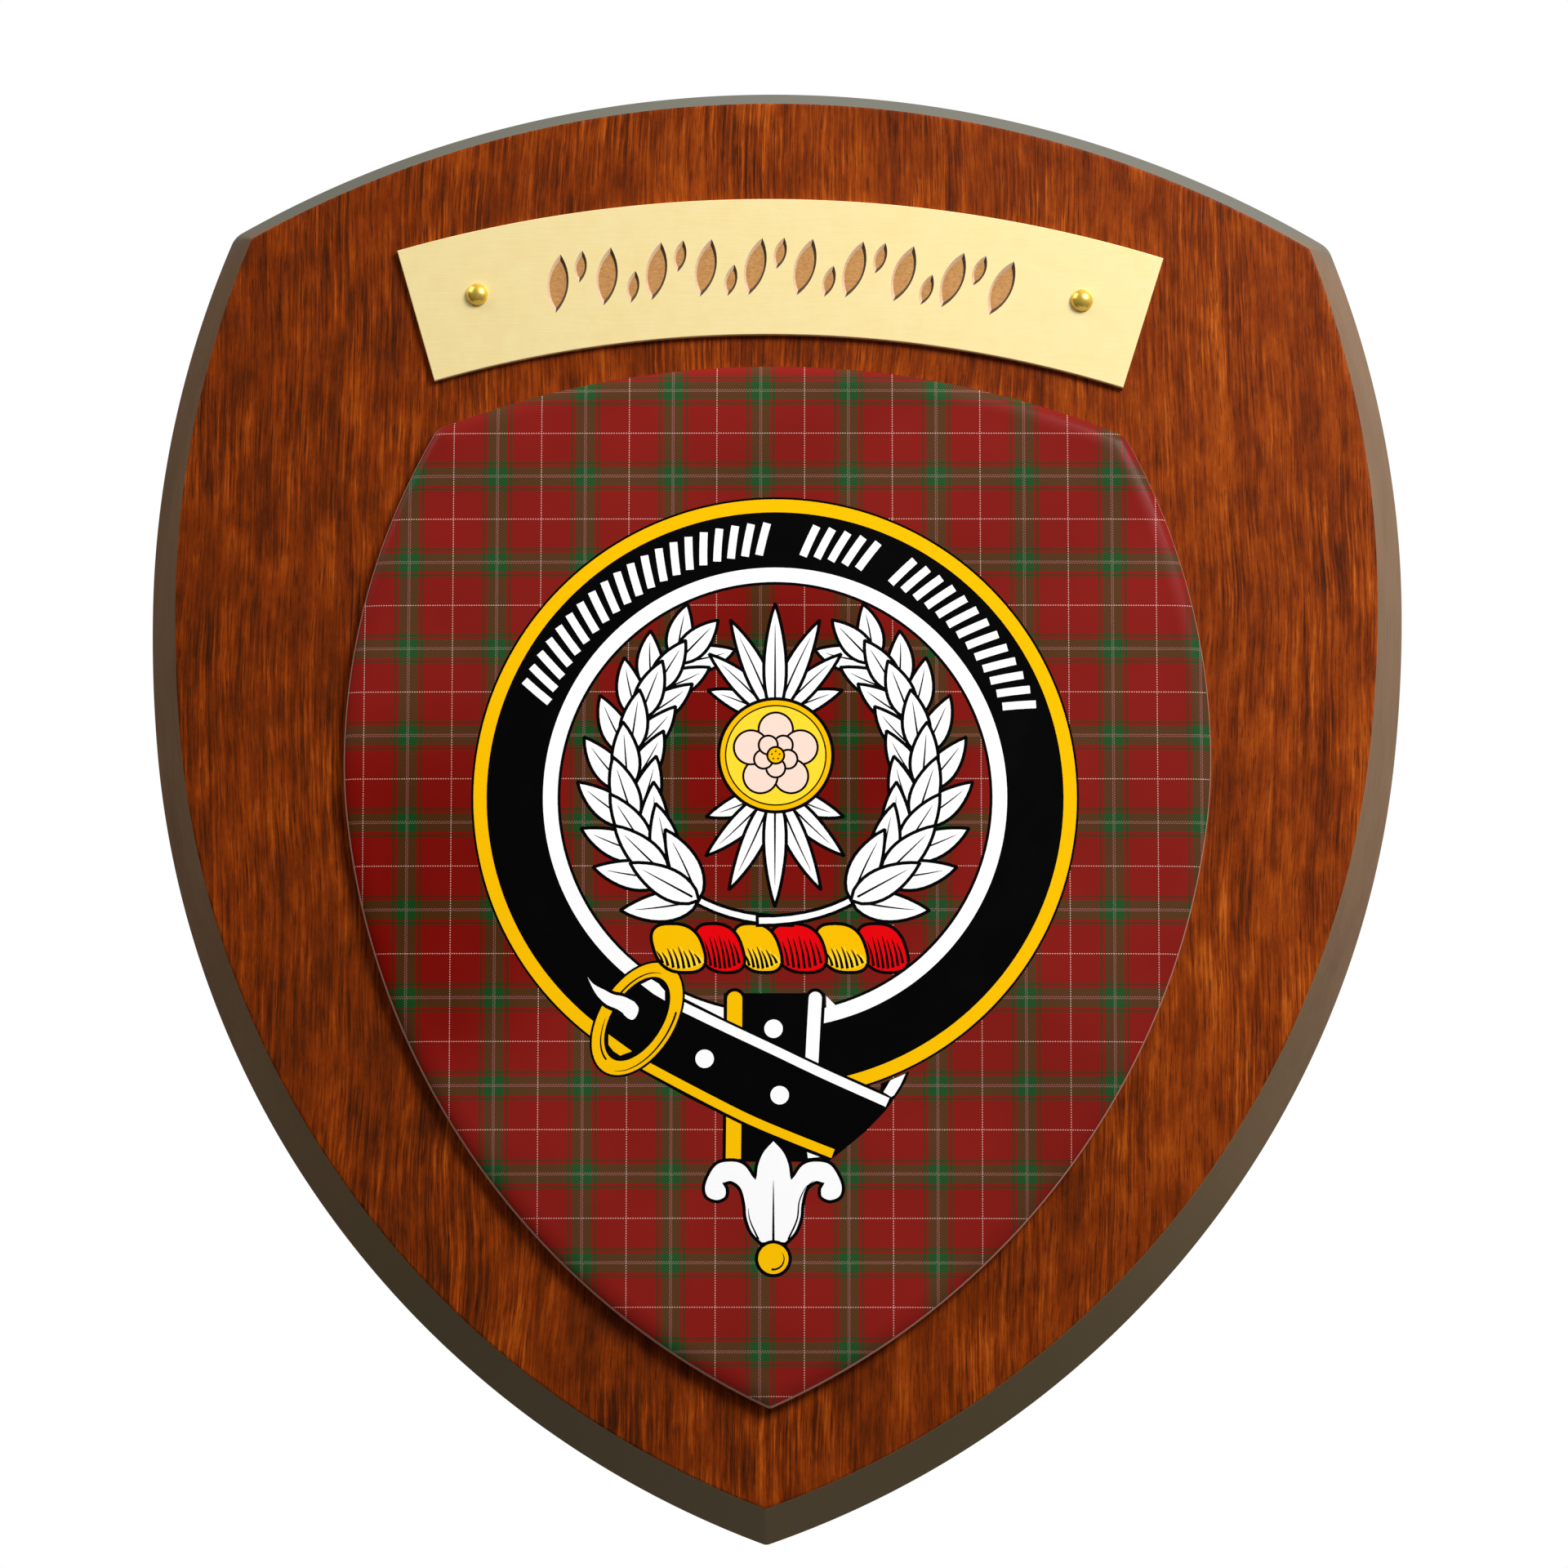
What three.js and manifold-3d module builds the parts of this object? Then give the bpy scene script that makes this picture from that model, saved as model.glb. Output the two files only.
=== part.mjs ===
// Wooden heraldic shield plaque: a bevelled shield-shaped board that carries a crowned tartan
// shield panel and an arched brass nameplate, held by two dome-headed brass pins.
// Millimetres. +Z is up, the front faces -Y, and the origin is the middle of the flat back.

import * as THREE from "three";
import { mergeVertices } from "three/addons/utils/BufferGeometryUtils.js";
import Module from "manifold-3d";

const wasm = await Module();
wasm.setup();

// Board
const BOARD_WIDTH = 175;
const BOARD_HEIGHT = 203.8; // to the point of the shield, before it is rounded
const BOARD_THICKNESS = 18;
const BEVEL_WIDTH = 4.7; // how far the sloping edge runs in, seen from the front
const LAND_THICKNESS = 4; // upright edge left behind the bevel
const ARRIS = 0.25; // softened edge between the face and the bevel
const BOARD_WIDEST_DROP = 74.1; // from the top of the outline down to its widest place
const BOARD_TOP_RADIUS = 150;
const BOARD_UPPER_RADIUS = 140;
const BOARD_LOWER_RADIUS = 192;
const BOARD_LOWER_TURN = 6.2; // degrees of lower side arc before the flank arc takes over
const BOARD_CORNER_RADIUS = 3.4;
const BOARD_TIP_RADIUS = 1.3;

// Keyhole slot in the back, for the head of a wall screw
const KEYHOLE_BELOW_TOP = 40; // from the top of the board down to the middle of the round entry
const KEYHOLE_ENTRY = 10; // diameter that lets the screw head in
const KEYHOLE_SLOT = 5; // width of the lip's slot, for the screw's shank
const KEYHOLE_RUN = 11; // from the middle of the entry up to the middle of the slot's round end
const KEYHOLE_DEPTH = 9;
const KEYHOLE_LIP = 3; // wood left in front of the screw head

// Nameplate
const PLATE_BELOW_EDGE = 13.8; // from the top of the board's face down to the plate
const PLATE_HEIGHT = 19.1;
const PLATE_RADIUS = 183.7; // of the upper edge
const PLATE_SPAN = 106.2; // between the two upper corners
const PLATE_THICKNESS = 1;

// Marks engraved in the nameplate
const MARK_COUNT = 10;
const MARK_DEPTH = 0.35;
const MARK_WIDTH = 2.9; // of a broad stroke
const MARK_MARGIN = 5.4; // bare plate above and below the marks
const MARK_LEAN = 14; // degrees to the right of upright
const MARK_TO_PIN = 11.2; // along the arc, from a pin to the nearest mark
const ACCENT_WIDTH = 1.7; // of the short stroke beside each broad one
const ACCENT_SHARE = 0.55; // its length against the broad stroke's
const ACCENT_OFFSET = 3.43; // along the arc, from the middle of the broad stroke

// Pins
const PIN_INSET = 9; // along the arc, from the end of the plate
const PIN_RAISE = 0.7; // above the plate's middle line
const PIN_HEAD = 3.1; // diameter
const PIN_HEAD_HEIGHT = 1.3;
const PIN_SHANK = 1.4; // diameter
const PIN_LENGTH = 9; // under the head
const PIN_CLEARANCE = 0.15; // round the shank
const PIN_END_CLEARANCE = 0.5; // below its point
const PIN_POINT = 1.6; // length of the pointed end

// Tartan shield panel
const PANEL_SIDE_MARGIN = 23.4; // bare face beside its widest place
const PANEL_GAP = 4.65; // between the nameplate and the top of the panel
const PANEL_TIP_MARGIN = 13.7; // bare face below its tip
const PANEL_OFFSET = 0.4; // how far off centre it was glued
const PANEL_WIDEST_DROP = 54.7;
const PANEL_TOP_RADIUS = 125.5;
const PANEL_UPPER_RADIUS = 92;
const PANEL_LOWER_RADIUS = 68;
const PANEL_LOWER_TURN = 6.6; // degrees
const PANEL_CORNER_RADIUS = 3;
const PANEL_TIP_RADIUS = 1.2;
const PANEL_EDGE = 1.5; // height of its upright edge
const PANEL_ROLL_WIDTH = 3; // the rounded shoulder of its face, seen from the front
const PANEL_ROLL_RISE = 1.2;
const PANEL_CROWN_RISE = 0.7; // of the gentle crown inside the rounded shoulder

// Points along each arc of a shield outline, and round a drilled hole
const TOP_POINTS = 12;
const CORNER_POINTS = 4;
const SIDE_POINTS = 6;
const FLANK_POINTS = 16;
const TIP_POINTS = 3;
const HOLE_POINTS = 16;
const MARK_POINTS = 6; // along each side of an engraved mark
const DOME_STEPS = 5; // from the rim of a pin's head to its top
const ROLL_STEPS = 5; // round the panel's shoulder
const CROWN_STEPS = 4; // from the shoulder to the middle of the panel
const SHARPEST_CORNER = 0.3; // radius left where an inset outline runs out of corner
const CUT_OVERRUN = 1; // how far a cutter stands out of what it cuts

const mahogany = new THREE.MeshStandardMaterial({ color: 0x8a3c14, roughness: 0.4, metalness: 0 });
const tartan = new THREE.MeshStandardMaterial({ color: 0x871c1e, roughness: 0.35, metalness: 0 });
const brass = new THREE.MeshStandardMaterial({ color: 0xe6d28c, roughness: 0.45, metalness: 1 });
const pinBrass = new THREE.MeshStandardMaterial({ color: 0xd9a92e, roughness: 0.2, metalness: 1 });

const radians = THREE.MathUtils.degToRad;

// Places that several pieces share
const boardTop = BOARD_HEIGHT / 2;
const faceY = -BOARD_THICKNESS;
const faceTop = boardTop - BEVEL_WIDTH;
const faceTip = -boardTop + BEVEL_WIDTH;
const plateTop = faceTop - PLATE_BELOW_EDGE;
const plateCentre = plateTop - PLATE_RADIUS; // height of the middle of the plate's arcs
const plateMiddle = PLATE_RADIUS - PLATE_HEIGHT / 2; // radius of the plate's middle line
const pinRadius = plateMiddle + PIN_RAISE;
const plateHalfAngle = Math.asin(PLATE_SPAN / 2 / PLATE_RADIUS);
const pinAngle = plateHalfAngle - PIN_INSET / plateMiddle;
const panelTop = plateTop - PLATE_HEIGHT - PANEL_GAP;
const panelTip = faceTip + PANEL_TIP_MARGIN;

const board = {
  width: BOARD_WIDTH,
  top: boardTop,
  tip: -boardTop,
  widest: boardTop - BOARD_WIDEST_DROP,
  topRadius: BOARD_TOP_RADIUS,
  upperRadius: BOARD_UPPER_RADIUS,
  lowerRadius: BOARD_LOWER_RADIUS,
  lowerTurn: radians(BOARD_LOWER_TURN),
  cornerRadius: BOARD_CORNER_RADIUS,
  tipRadius: BOARD_TIP_RADIUS,
};

const panel = {
  width: BOARD_WIDTH - 2 * (BEVEL_WIDTH + PANEL_SIDE_MARGIN),
  top: panelTop,
  tip: panelTip,
  widest: panelTop - PANEL_WIDEST_DROP,
  topRadius: PANEL_TOP_RADIUS,
  upperRadius: PANEL_UPPER_RADIUS,
  lowerRadius: PANEL_LOWER_RADIUS,
  lowerTurn: radians(PANEL_LOWER_TURN),
  cornerRadius: PANEL_CORNER_RADIUS,
  tipRadius: PANEL_TIP_RADIUS,
};

// Points of an arc, both ends included.
function arc(centre, radius, from, to, steps) {
  const points = [];
  for (let i = 0; i <= steps; i++) {
    const angle = from + ((to - from) * i) / steps;
    const spoke = new THREE.Vector2(Math.cos(angle), Math.sin(angle));
    points.push(centre.clone().addScaledVector(spoke, radius));
  }
  return points;
}

// The right-hand crossing of two circles.
function crossing(centreA, radiusA, centreB, radiusB) {
  const between = centreB.clone().sub(centreA);
  const distance = between.length();
  const along = (radiusA ** 2 - radiusB ** 2 + distance ** 2) / (2 * distance);
  const aside = Math.sqrt(Math.max(radiusA ** 2 - along ** 2, 0));
  const direction = between.divideScalar(distance);
  const foot = centreA.clone().addScaledVector(direction, along);
  const normal = new THREE.Vector2(-direction.y, direction.x);
  const one = foot.clone().addScaledVector(normal, aside);
  const other = foot.clone().addScaledVector(normal, -aside);
  return one.x > other.x ? one : other;
}

// A shield's outline, drawn with tangent arcs and moved in by an inset, as a closed ring of points.
// Down the right side run the top arc, a rounded corner, the upper and the lower side, the flank
// and a rounded tip, and the left side mirrors them.
function shieldOutline(shield, inset) {
  const half = shield.width / 2;
  const cornerRadius = Math.max(shield.cornerRadius - inset, SHARPEST_CORNER);
  const tipRadius = Math.max(shield.tipRadius - inset, SHARPEST_CORNER);
  const topRadius = shield.topRadius - inset;
  const upperRadius = shield.upperRadius - inset;
  const topCentre = new THREE.Vector2(0, shield.top - shield.topRadius);
  const upperCentre = new THREE.Vector2(half - shield.upperRadius, shield.widest);
  const lowerCentre = new THREE.Vector2(half - shield.lowerRadius, shield.widest);

  const cornerCentre = crossing(
    topCentre,
    topRadius - cornerRadius,
    upperCentre,
    upperRadius - cornerRadius,
  );
  const topEnd = cornerCentre.clone().sub(topCentre).angle();
  const cornerEnd = cornerCentre.clone().sub(upperCentre).angle();

  // The flank arc leaves the lower side arc without a kink and is aimed at the tip.
  const flankAim = new THREE.Vector2(Math.cos(-shield.lowerTurn), Math.sin(-shield.lowerTurn));
  const flankStart = lowerCentre.clone().addScaledVector(flankAim, shield.lowerRadius);
  const toTip = new THREE.Vector2(0, shield.tip).sub(flankStart);
  const fullFlankRadius = -toTip.lengthSq() / (2 * toTip.dot(flankAim));
  const flankCentre = flankStart.clone().addScaledVector(flankAim, -fullFlankRadius);
  const flankRadius = fullFlankRadius - inset;
  const tipDrop = Math.sqrt((flankRadius - tipRadius) ** 2 - flankCentre.x ** 2);
  const tipCentre = new THREE.Vector2(0, flankCentre.y - tipDrop);
  const flankEnd = Math.atan2(-tipDrop, -flankCentre.x);

  const right = [
    ...arc(topCentre, topRadius, Math.PI / 2, topEnd, TOP_POINTS),
    ...arc(cornerCentre, cornerRadius, topEnd, cornerEnd, CORNER_POINTS).slice(1),
    ...arc(upperCentre, upperRadius, cornerEnd, 0, SIDE_POINTS).slice(1),
    ...arc(lowerCentre, shield.lowerRadius - inset, 0, -shield.lowerTurn, SIDE_POINTS).slice(1),
    ...arc(flankCentre, flankRadius, -shield.lowerTurn, flankEnd, FLANK_POINTS).slice(1),
    ...arc(tipCentre, tipRadius, flankEnd, -Math.PI / 2, TIP_POINTS).slice(1),
  ];
  const left = right.slice(1, -1).reverse();
  return [...right, ...left.map((point) => new THREE.Vector2(-point.x, point.y))];
}

// A closed solid skinned over rings of equal length, each { points, y }, from the back forwards.
function skin(rings) {
  const count = rings[0].points.length;
  const positions = [];
  const index = [];
  for (const ring of rings) {
    for (const point of ring.points) {
      positions.push(point.x, ring.y, point.y);
    }
  }
  for (let ring = 0; ring < rings.length - 1; ring++) {
    for (let i = 0; i < count; i++) {
      const here = ring * count + i;
      const next = ring * count + ((i + 1) % count);
      index.push(here, here + count, next);
      index.push(next, here + count, next + count);
    }
  }
  const lastRing = (rings.length - 1) * count;
  for (const [a, b, c] of THREE.ShapeUtils.triangulateShape(rings[0].points, [])) {
    index.push(a, c, b);
  }
  for (const [a, b, c] of THREE.ShapeUtils.triangulateShape(rings.at(-1).points, [])) {
    index.push(lastRing + a, lastRing + b, lastRing + c);
  }
  const geometry = new THREE.BufferGeometry();
  geometry.setAttribute("position", new THREE.Float32BufferAttribute(positions, 3));
  geometry.setIndex(index);
  return geometry;
}

// A flat shape in X and Z, pushed from one depth to another along Y.
function plateOf(points, fromY, toY) {
  const shape = new THREE.Shape(points);
  const geometry = new THREE.ExtrudeGeometry(shape, { depth: toY - fromY, bevelEnabled: false });
  geometry.rotateX(Math.PI / 2); // the extrusion now runs from 0 towards -Y, with its outline upright
  geometry.translate(0, toY, 0);
  return geometry;
}

function solidOf(geometry) {
  const bare = geometry.clone();
  bare.deleteAttribute("normal");
  bare.deleteAttribute("uv");
  const merged = mergeVertices(bare, 1e-4);
  const mesh = new wasm.Mesh({
    numProp: 3,
    vertProperties: merged.attributes.position.array,
    triVerts: new Uint32Array(merged.index.array),
  });
  return new wasm.Manifold(mesh);
}

function geometryOf(solid) {
  const mesh = solid.getMesh();
  const geometry = new THREE.BufferGeometry();
  geometry.setAttribute("position", new THREE.BufferAttribute(mesh.vertProperties, 3));
  geometry.setIndex(new THREE.BufferAttribute(mesh.triVerts, 1));
  geometry.computeVertexNormals();
  return geometry;
}

function piece(name, geometry, material) {
  const mesh = new THREE.Mesh(geometry, material);
  mesh.name = name;
  return mesh;
}

// A round hole along Y, between two depths, at a place on the front.
function drill(radius, place, fromY, toY) {
  const geometry = new THREE.CylinderGeometry(radius, radius, toY - fromY, HOLE_POINTS);
  geometry.translate(place.x, (fromY + toY) / 2, place.y);
  return solidOf(geometry);
}

// A slot with round ends that runs up from a place on the back, between two depths.
function slot(width, run, place, fromY, toY) {
  const lower = arc(place, width / 2, Math.PI, 2 * Math.PI, HOLE_POINTS / 2);
  const upperCentre = place.clone().add(new THREE.Vector2(0, run));
  const upper = arc(upperCentre, width / 2, 0, Math.PI, HOLE_POINTS / 2);
  return solidOf(plateOf([...lower, ...upper], fromY, toY));
}

// A place on the nameplate: an angle from upright, positive to the right, and a radius.
function onPlate(angle, radius) {
  return new THREE.Vector2(radius * Math.sin(angle), plateCentre + radius * Math.cos(angle));
}

const pinPlaces = { left: onPlate(-pinAngle, pinRadius), right: onPlate(pinAngle, pinRadius) };
const pinHole = PIN_SHANK / 2 + PIN_CLEARANCE;
const plateFrontY = faceY - PLATE_THICKNESS;
const pilotEndY = plateFrontY + PIN_LENGTH + PIN_END_CLEARANCE;

function boardGeometry() {
  const outer = shieldOutline(board, 0);
  let solid = solidOf(
    skin([
      { points: outer, y: 0 },
      { points: outer, y: -LAND_THICKNESS },
      { points: shieldOutline(board, BEVEL_WIDTH), y: faceY + ARRIS },
      { points: shieldOutline(board, BEVEL_WIDTH + ARRIS), y: faceY },
    ]),
  );
  const entry = new THREE.Vector2(0, boardTop - KEYHOLE_BELOW_TOP);
  solid = solid.subtract(slot(KEYHOLE_SLOT, KEYHOLE_RUN, entry, -KEYHOLE_DEPTH, CUT_OVERRUN));
  solid = solid.subtract(slot(KEYHOLE_ENTRY, KEYHOLE_RUN, entry, -KEYHOLE_DEPTH, -KEYHOLE_LIP));
  solid = solid.subtract(drill(KEYHOLE_ENTRY / 2, entry, -KEYHOLE_DEPTH, CUT_OVERRUN));
  for (const place of Object.values(pinPlaces)) {
    solid = solid.subtract(drill(pinHole, place, faceY - CUT_OVERRUN, pilotEndY));
  }
  return geometryOf(solid);
}

// A straight edge, a quarter-ellipse shoulder, and a crown that rises as a parabola towards the
// middle while its outline shrinks.
function panelGeometry() {
  const rings = [{ points: shieldOutline(panel, 0), y: faceY }];
  for (let i = 0; i <= ROLL_STEPS; i++) {
    const angle = ((Math.PI / 2) * i) / ROLL_STEPS;
    const inset = PANEL_ROLL_WIDTH * (1 - Math.cos(angle));
    const height = PANEL_EDGE + PANEL_ROLL_RISE * Math.sin(angle);
    rings.push({ points: shieldOutline(panel, inset), y: faceY - height });
  }
  const rim = rings.at(-1);
  const middle = new THREE.Vector2(0, (panel.top + panel.tip) / 2);
  for (let i = 1; i <= CROWN_STEPS; i++) {
    const share = 1 - i / (CROWN_STEPS + 1);
    const points = rim.points.map((point) => middle.clone().lerp(point, share));
    rings.push({ points, y: rim.y - PANEL_CROWN_RISE * (1 - share ** 2) });
  }
  const geometry = skin(rings);
  geometry.computeVertexNormals();
  return geometry;
}

// A pen stroke pointed at both ends: two shallow arcs that bow by half the width each.
function stroke(place, tilt, length, width) {
  const bow = width / 2;
  const radius = ((length / 2) ** 2 + bow ** 2) / (2 * bow);
  const sweep = Math.asin(length / 2 / radius);
  const middle = new THREE.Vector2();
  const right = arc(new THREE.Vector2(bow - radius, 0), radius, -sweep, sweep, MARK_POINTS);
  const left = right.slice(1, -1).map((point) => point.clone().rotateAround(middle, Math.PI));
  return [...right, ...left].map((point) => point.rotateAround(middle, tilt).add(place));
}

// A row of engraved marks along the plate: broad strokes that all lean one way, with a short one
// between each and the next, high and low by turns.
function markOutlines() {
  const reach = pinAngle - MARK_TO_PIN / plateMiddle;
  const length = PLATE_HEIGHT - 2 * MARK_MARGIN;
  const outlines = [];
  for (let i = 0; i < MARK_COUNT; i++) {
    const angle = reach * ((2 * i) / (MARK_COUNT - 1) - 1);
    const side = i % 2 === 0 ? 1 : -1;
    const lean = radians(MARK_LEAN);
    outlines.push(stroke(onPlate(angle, plateMiddle), -angle - lean, length, MARK_WIDTH));
    if (i === MARK_COUNT - 1) {
      continue;
    }
    const accentAngle = angle + ACCENT_OFFSET / plateMiddle;
    const accentRadius = plateMiddle + (side * length * (1 - ACCENT_SHARE)) / 2;
    const accentPlace = onPlate(accentAngle, accentRadius);
    outlines.push(stroke(accentPlace, -accentAngle - lean, length * ACCENT_SHARE, ACCENT_WIDTH));
  }
  return outlines;
}

function nameplateGeometry() {
  const centre = new THREE.Vector2(0, plateCentre);
  const start = Math.PI / 2 + plateHalfAngle;
  const end = Math.PI / 2 - plateHalfAngle;
  const upper = arc(centre, PLATE_RADIUS, start, end, 2 * TOP_POINTS);
  const lower = arc(centre, PLATE_RADIUS - PLATE_HEIGHT, end, start, 2 * TOP_POINTS);
  let solid = solidOf(plateOf([...upper, ...lower], plateFrontY, faceY));
  for (const outline of markOutlines()) {
    solid = solid.subtract(solidOf(plateOf(outline, plateFrontY - CUT_OVERRUN, plateFrontY + MARK_DEPTH)));
  }
  for (const place of Object.values(pinPlaces)) {
    solid = solid.subtract(drill(pinHole, place, plateFrontY - CUT_OVERRUN, faceY + CUT_OVERRUN));
  }
  return geometryOf(solid);
}

// A pin turned about its own axis: domed head, straight shank, point.
function pinGeometry() {
  const shank = PIN_SHANK / 2;
  const capRadius = ((PIN_HEAD / 2) ** 2 + PIN_HEAD_HEIGHT ** 2) / (2 * PIN_HEAD_HEIGHT);
  const capSweep = Math.atan2(PIN_HEAD / 2, capRadius - PIN_HEAD_HEIGHT);
  const capCentre = new THREE.Vector2(0, PIN_HEAD_HEIGHT - capRadius);
  const dome = arc(capCentre, capRadius, Math.PI / 2 - capSweep, Math.PI / 2, DOME_STEPS);
  dome.at(-1).x = 0;
  const profile = [
    new THREE.Vector2(0, -PIN_LENGTH),
    new THREE.Vector2(shank, -PIN_LENGTH + PIN_POINT),
    new THREE.Vector2(shank, 0),
    ...dome,
  ];
  const geometry = new THREE.LatheGeometry(profile, HOLE_POINTS);
  geometry.rotateX(Math.PI); // turns the head to the front
  return geometry;
}

const plaque = new THREE.Group();
plaque.add(piece("board", boardGeometry(), mahogany));
plaque.add(piece("tartan_panel", panelGeometry(), tartan));
plaque.getObjectByName("tartan_panel").position.x = PANEL_OFFSET;
plaque.add(piece("nameplate", nameplateGeometry(), brass));
for (const [side, place] of Object.entries(pinPlaces)) {
  const pin = piece(`pin_${side}`, pinGeometry(), pinBrass);
  pin.position.set(place.x, plateFrontY, place.y);
  plaque.add(pin);
}

export default plaque;
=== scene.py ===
# %% [markdown]
# # A wooden heraldic shield plaque
# The plaque is a bevelled mahogany board in the shape of a shield. It carries a smaller domed
# shield printed with tartan and a round emblem, and an arched brass nameplate on two brass pins.
#
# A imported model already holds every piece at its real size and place. It is loaded first, as the
# frame, and each piece of it is then replaced by a finer surface of the same form. The frame stays
# underneath, so a piece can never drift away from where it belongs.

# %% Loading the frame
import math

import bmesh
import bpy
import numpy as np
from mathutils import Matrix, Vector
from mathutils.geometry import delaunay_2d_cdt


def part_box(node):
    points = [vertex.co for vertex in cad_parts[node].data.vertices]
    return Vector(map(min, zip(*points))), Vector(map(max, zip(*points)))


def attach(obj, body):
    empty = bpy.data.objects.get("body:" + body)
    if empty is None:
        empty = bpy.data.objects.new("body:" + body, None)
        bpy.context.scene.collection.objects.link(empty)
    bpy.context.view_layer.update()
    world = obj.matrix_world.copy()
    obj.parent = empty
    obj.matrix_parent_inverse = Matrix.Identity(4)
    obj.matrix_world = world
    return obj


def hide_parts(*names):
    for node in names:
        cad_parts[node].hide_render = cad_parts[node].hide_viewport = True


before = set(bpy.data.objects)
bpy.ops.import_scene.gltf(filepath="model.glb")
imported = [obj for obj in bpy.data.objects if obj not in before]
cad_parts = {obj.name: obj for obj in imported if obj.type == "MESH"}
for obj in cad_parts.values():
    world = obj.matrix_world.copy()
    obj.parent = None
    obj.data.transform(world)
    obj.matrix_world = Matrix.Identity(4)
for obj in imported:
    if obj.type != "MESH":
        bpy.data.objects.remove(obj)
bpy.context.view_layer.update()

MM = 0.001  # Blender works in metres, and the sizes below are easier to read in millimetres


def node_box(node):
    """Lowest and highest corner of a node of the frame, in millimetres."""
    low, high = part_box(node)
    return np.array(low) / MM, np.array(high) / MM


board_low, board_high = node_box("board")
plate_low, plate_high = node_box("nameplate")
panel_low, panel_high = node_box("tartan_panel")
FACE_Y = board_low[1]  # the front face of the board, which everything else lies on
print("the board's face is at y =", round(FACE_Y, 3), "mm")

# %% [markdown]
# ## Small helpers
# Directions are worked with all through this lesson, as rows of arrays. Three more helpers put an
# object into the scene, give it a place and three directions, and gather a property of many faces
# or points at once.

# %% Small helpers


def unit(vectors):
    """Vectors, one to a row, each divided by its own length."""
    return np.asarray(vectors) / np.linalg.norm(vectors, axis=-1, keepdims=True)


def left_of(vectors):
    """Flat vectors turned a quarter counter-clockwise: (x, z) becomes (-z, x)."""
    return np.stack([-vectors[..., 1], vectors[..., 0]], axis=-1)


def new_object(name, data):
    """A new object in the scene, for a mesh, a lamp or a camera."""
    made = bpy.data.objects.new(name, data)
    bpy.context.scene.collection.objects.link(made)
    return made


def standing(place, right, up, backward):
    """A matrix that moves an object to a place, with its three directions as its columns."""
    turn = Matrix(np.stack([right, up, backward], axis=1).tolist()).to_4x4()
    return Matrix.Translation(place) @ turn


def each(elements, name, width=1, kind=np.float64):
    """One property of each face, corner or point of a mesh, as an array with a row to an element."""
    values = np.empty(len(elements) * width, dtype=kind)
    elements.foreach_get(name, values)
    return values.reshape(-1, width) if width > 1 else values


print("a unit vector:", unit([3.0, 4.0]), "and the one to its left:", left_of(unit([3.0, 4.0])))

# %% [markdown]
# ## The camera
# The photo was taken with a long lens from a little below the middle, so the sides of the shield
# hardly converge. A camera's matrix has its right, up and backward directions as columns, and they
# are worked out here from three angles: how far it looks up, how far it looks aside, and how far it
# is tilted about its own axis.

# %% Camera
CAMERA_PLACE = (6.75, -798.0, -94.0)
LOOKING_UP = math.radians(7.0)
LOOKING_ASIDE = math.radians(-0.396)
TILTED = math.radians(0.646)
LENS = 131.57
SENSOR = 36.0

forward = np.array(
    [
        math.sin(LOOKING_ASIDE) * math.cos(LOOKING_UP),
        math.cos(LOOKING_ASIDE) * math.cos(LOOKING_UP),
        math.sin(LOOKING_UP),
    ]
)
level = np.array([math.cos(LOOKING_ASIDE), -math.sin(LOOKING_ASIDE), 0.0])
upright = np.cross(level, forward)
right = math.cos(TILTED) * level + math.sin(TILTED) * upright
up = math.cos(TILTED) * upright - math.sin(TILTED) * level

camera = new_object("camera", bpy.data.cameras.new("camera"))
camera.data.lens = LENS
camera.data.sensor_width = SENSOR
camera.data.clip_end = 50.0
camera.matrix_world = standing(np.array(CAMERA_PLACE) * MM, right, up, -forward)
bpy.context.scene.camera = camera
print("camera at", tuple(round(v, 3) for v in camera.location))

# %% [markdown]
# ## Helpers for materials
# A material is a small network of nodes. Writing one out link by link takes many lines, so these
# helpers make a node together with its settings and links. The first of them turns the usual 0 to
# 255 colour numbers into the linear light that shaders work in.

# %% Material helpers


def srgb(red, green, blue, alpha=1.0):
    """A screen colour as linear light: each share, raised a little and then to the power 2.4."""
    share = np.array([red, green, blue]) / 255
    linear = np.where(share > 0.04045, ((share + 0.055) / 1.055) ** 2.4, share / 12.92)
    return (*linear.tolist(), alpha)


def feed(tree, node, **inputs):
    """Sets a node's inputs, or links them if the value is a socket. They are named in lower case
    with _ for a space, or _0, _1 by place."""
    for name, value in inputs.items():
        if name.startswith("_"):
            socket = node.inputs[int(name[1:])]
        else:
            socket = node.inputs[name.replace("_", " ").title().replace("Ior", "IOR")]
        if isinstance(value, bpy.types.NodeSocket):
            tree.links.new(value, socket)
        else:
            socket.default_value = value


def add(tree, kind, settings=None, **inputs):
    """Adds a shader node with its settings and inputs."""
    made = tree.nodes.new("ShaderNode" + kind)
    for name, value in (settings or {}).items():
        setattr(made, name, value)
    feed(tree, made, **inputs)
    return made


def calc(tree, operation, *values):
    """One step of arithmetic on numbers or sockets, as an output socket."""
    places = {f"_{place}": value for place, value in enumerate(values)}
    return add(tree, "Math", {"operation": operation}, **places).outputs[0]


def blend_colours(tree, share, first, second, how="MIX"):
    """Two colours mixed by a share from 0 to 1, as an output socket."""
    settings = {"data_type": "RGBA", "blend_type": how}
    return add(tree, "Mix", settings, _0=share, _6=first, _7=second).outputs[2]


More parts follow.
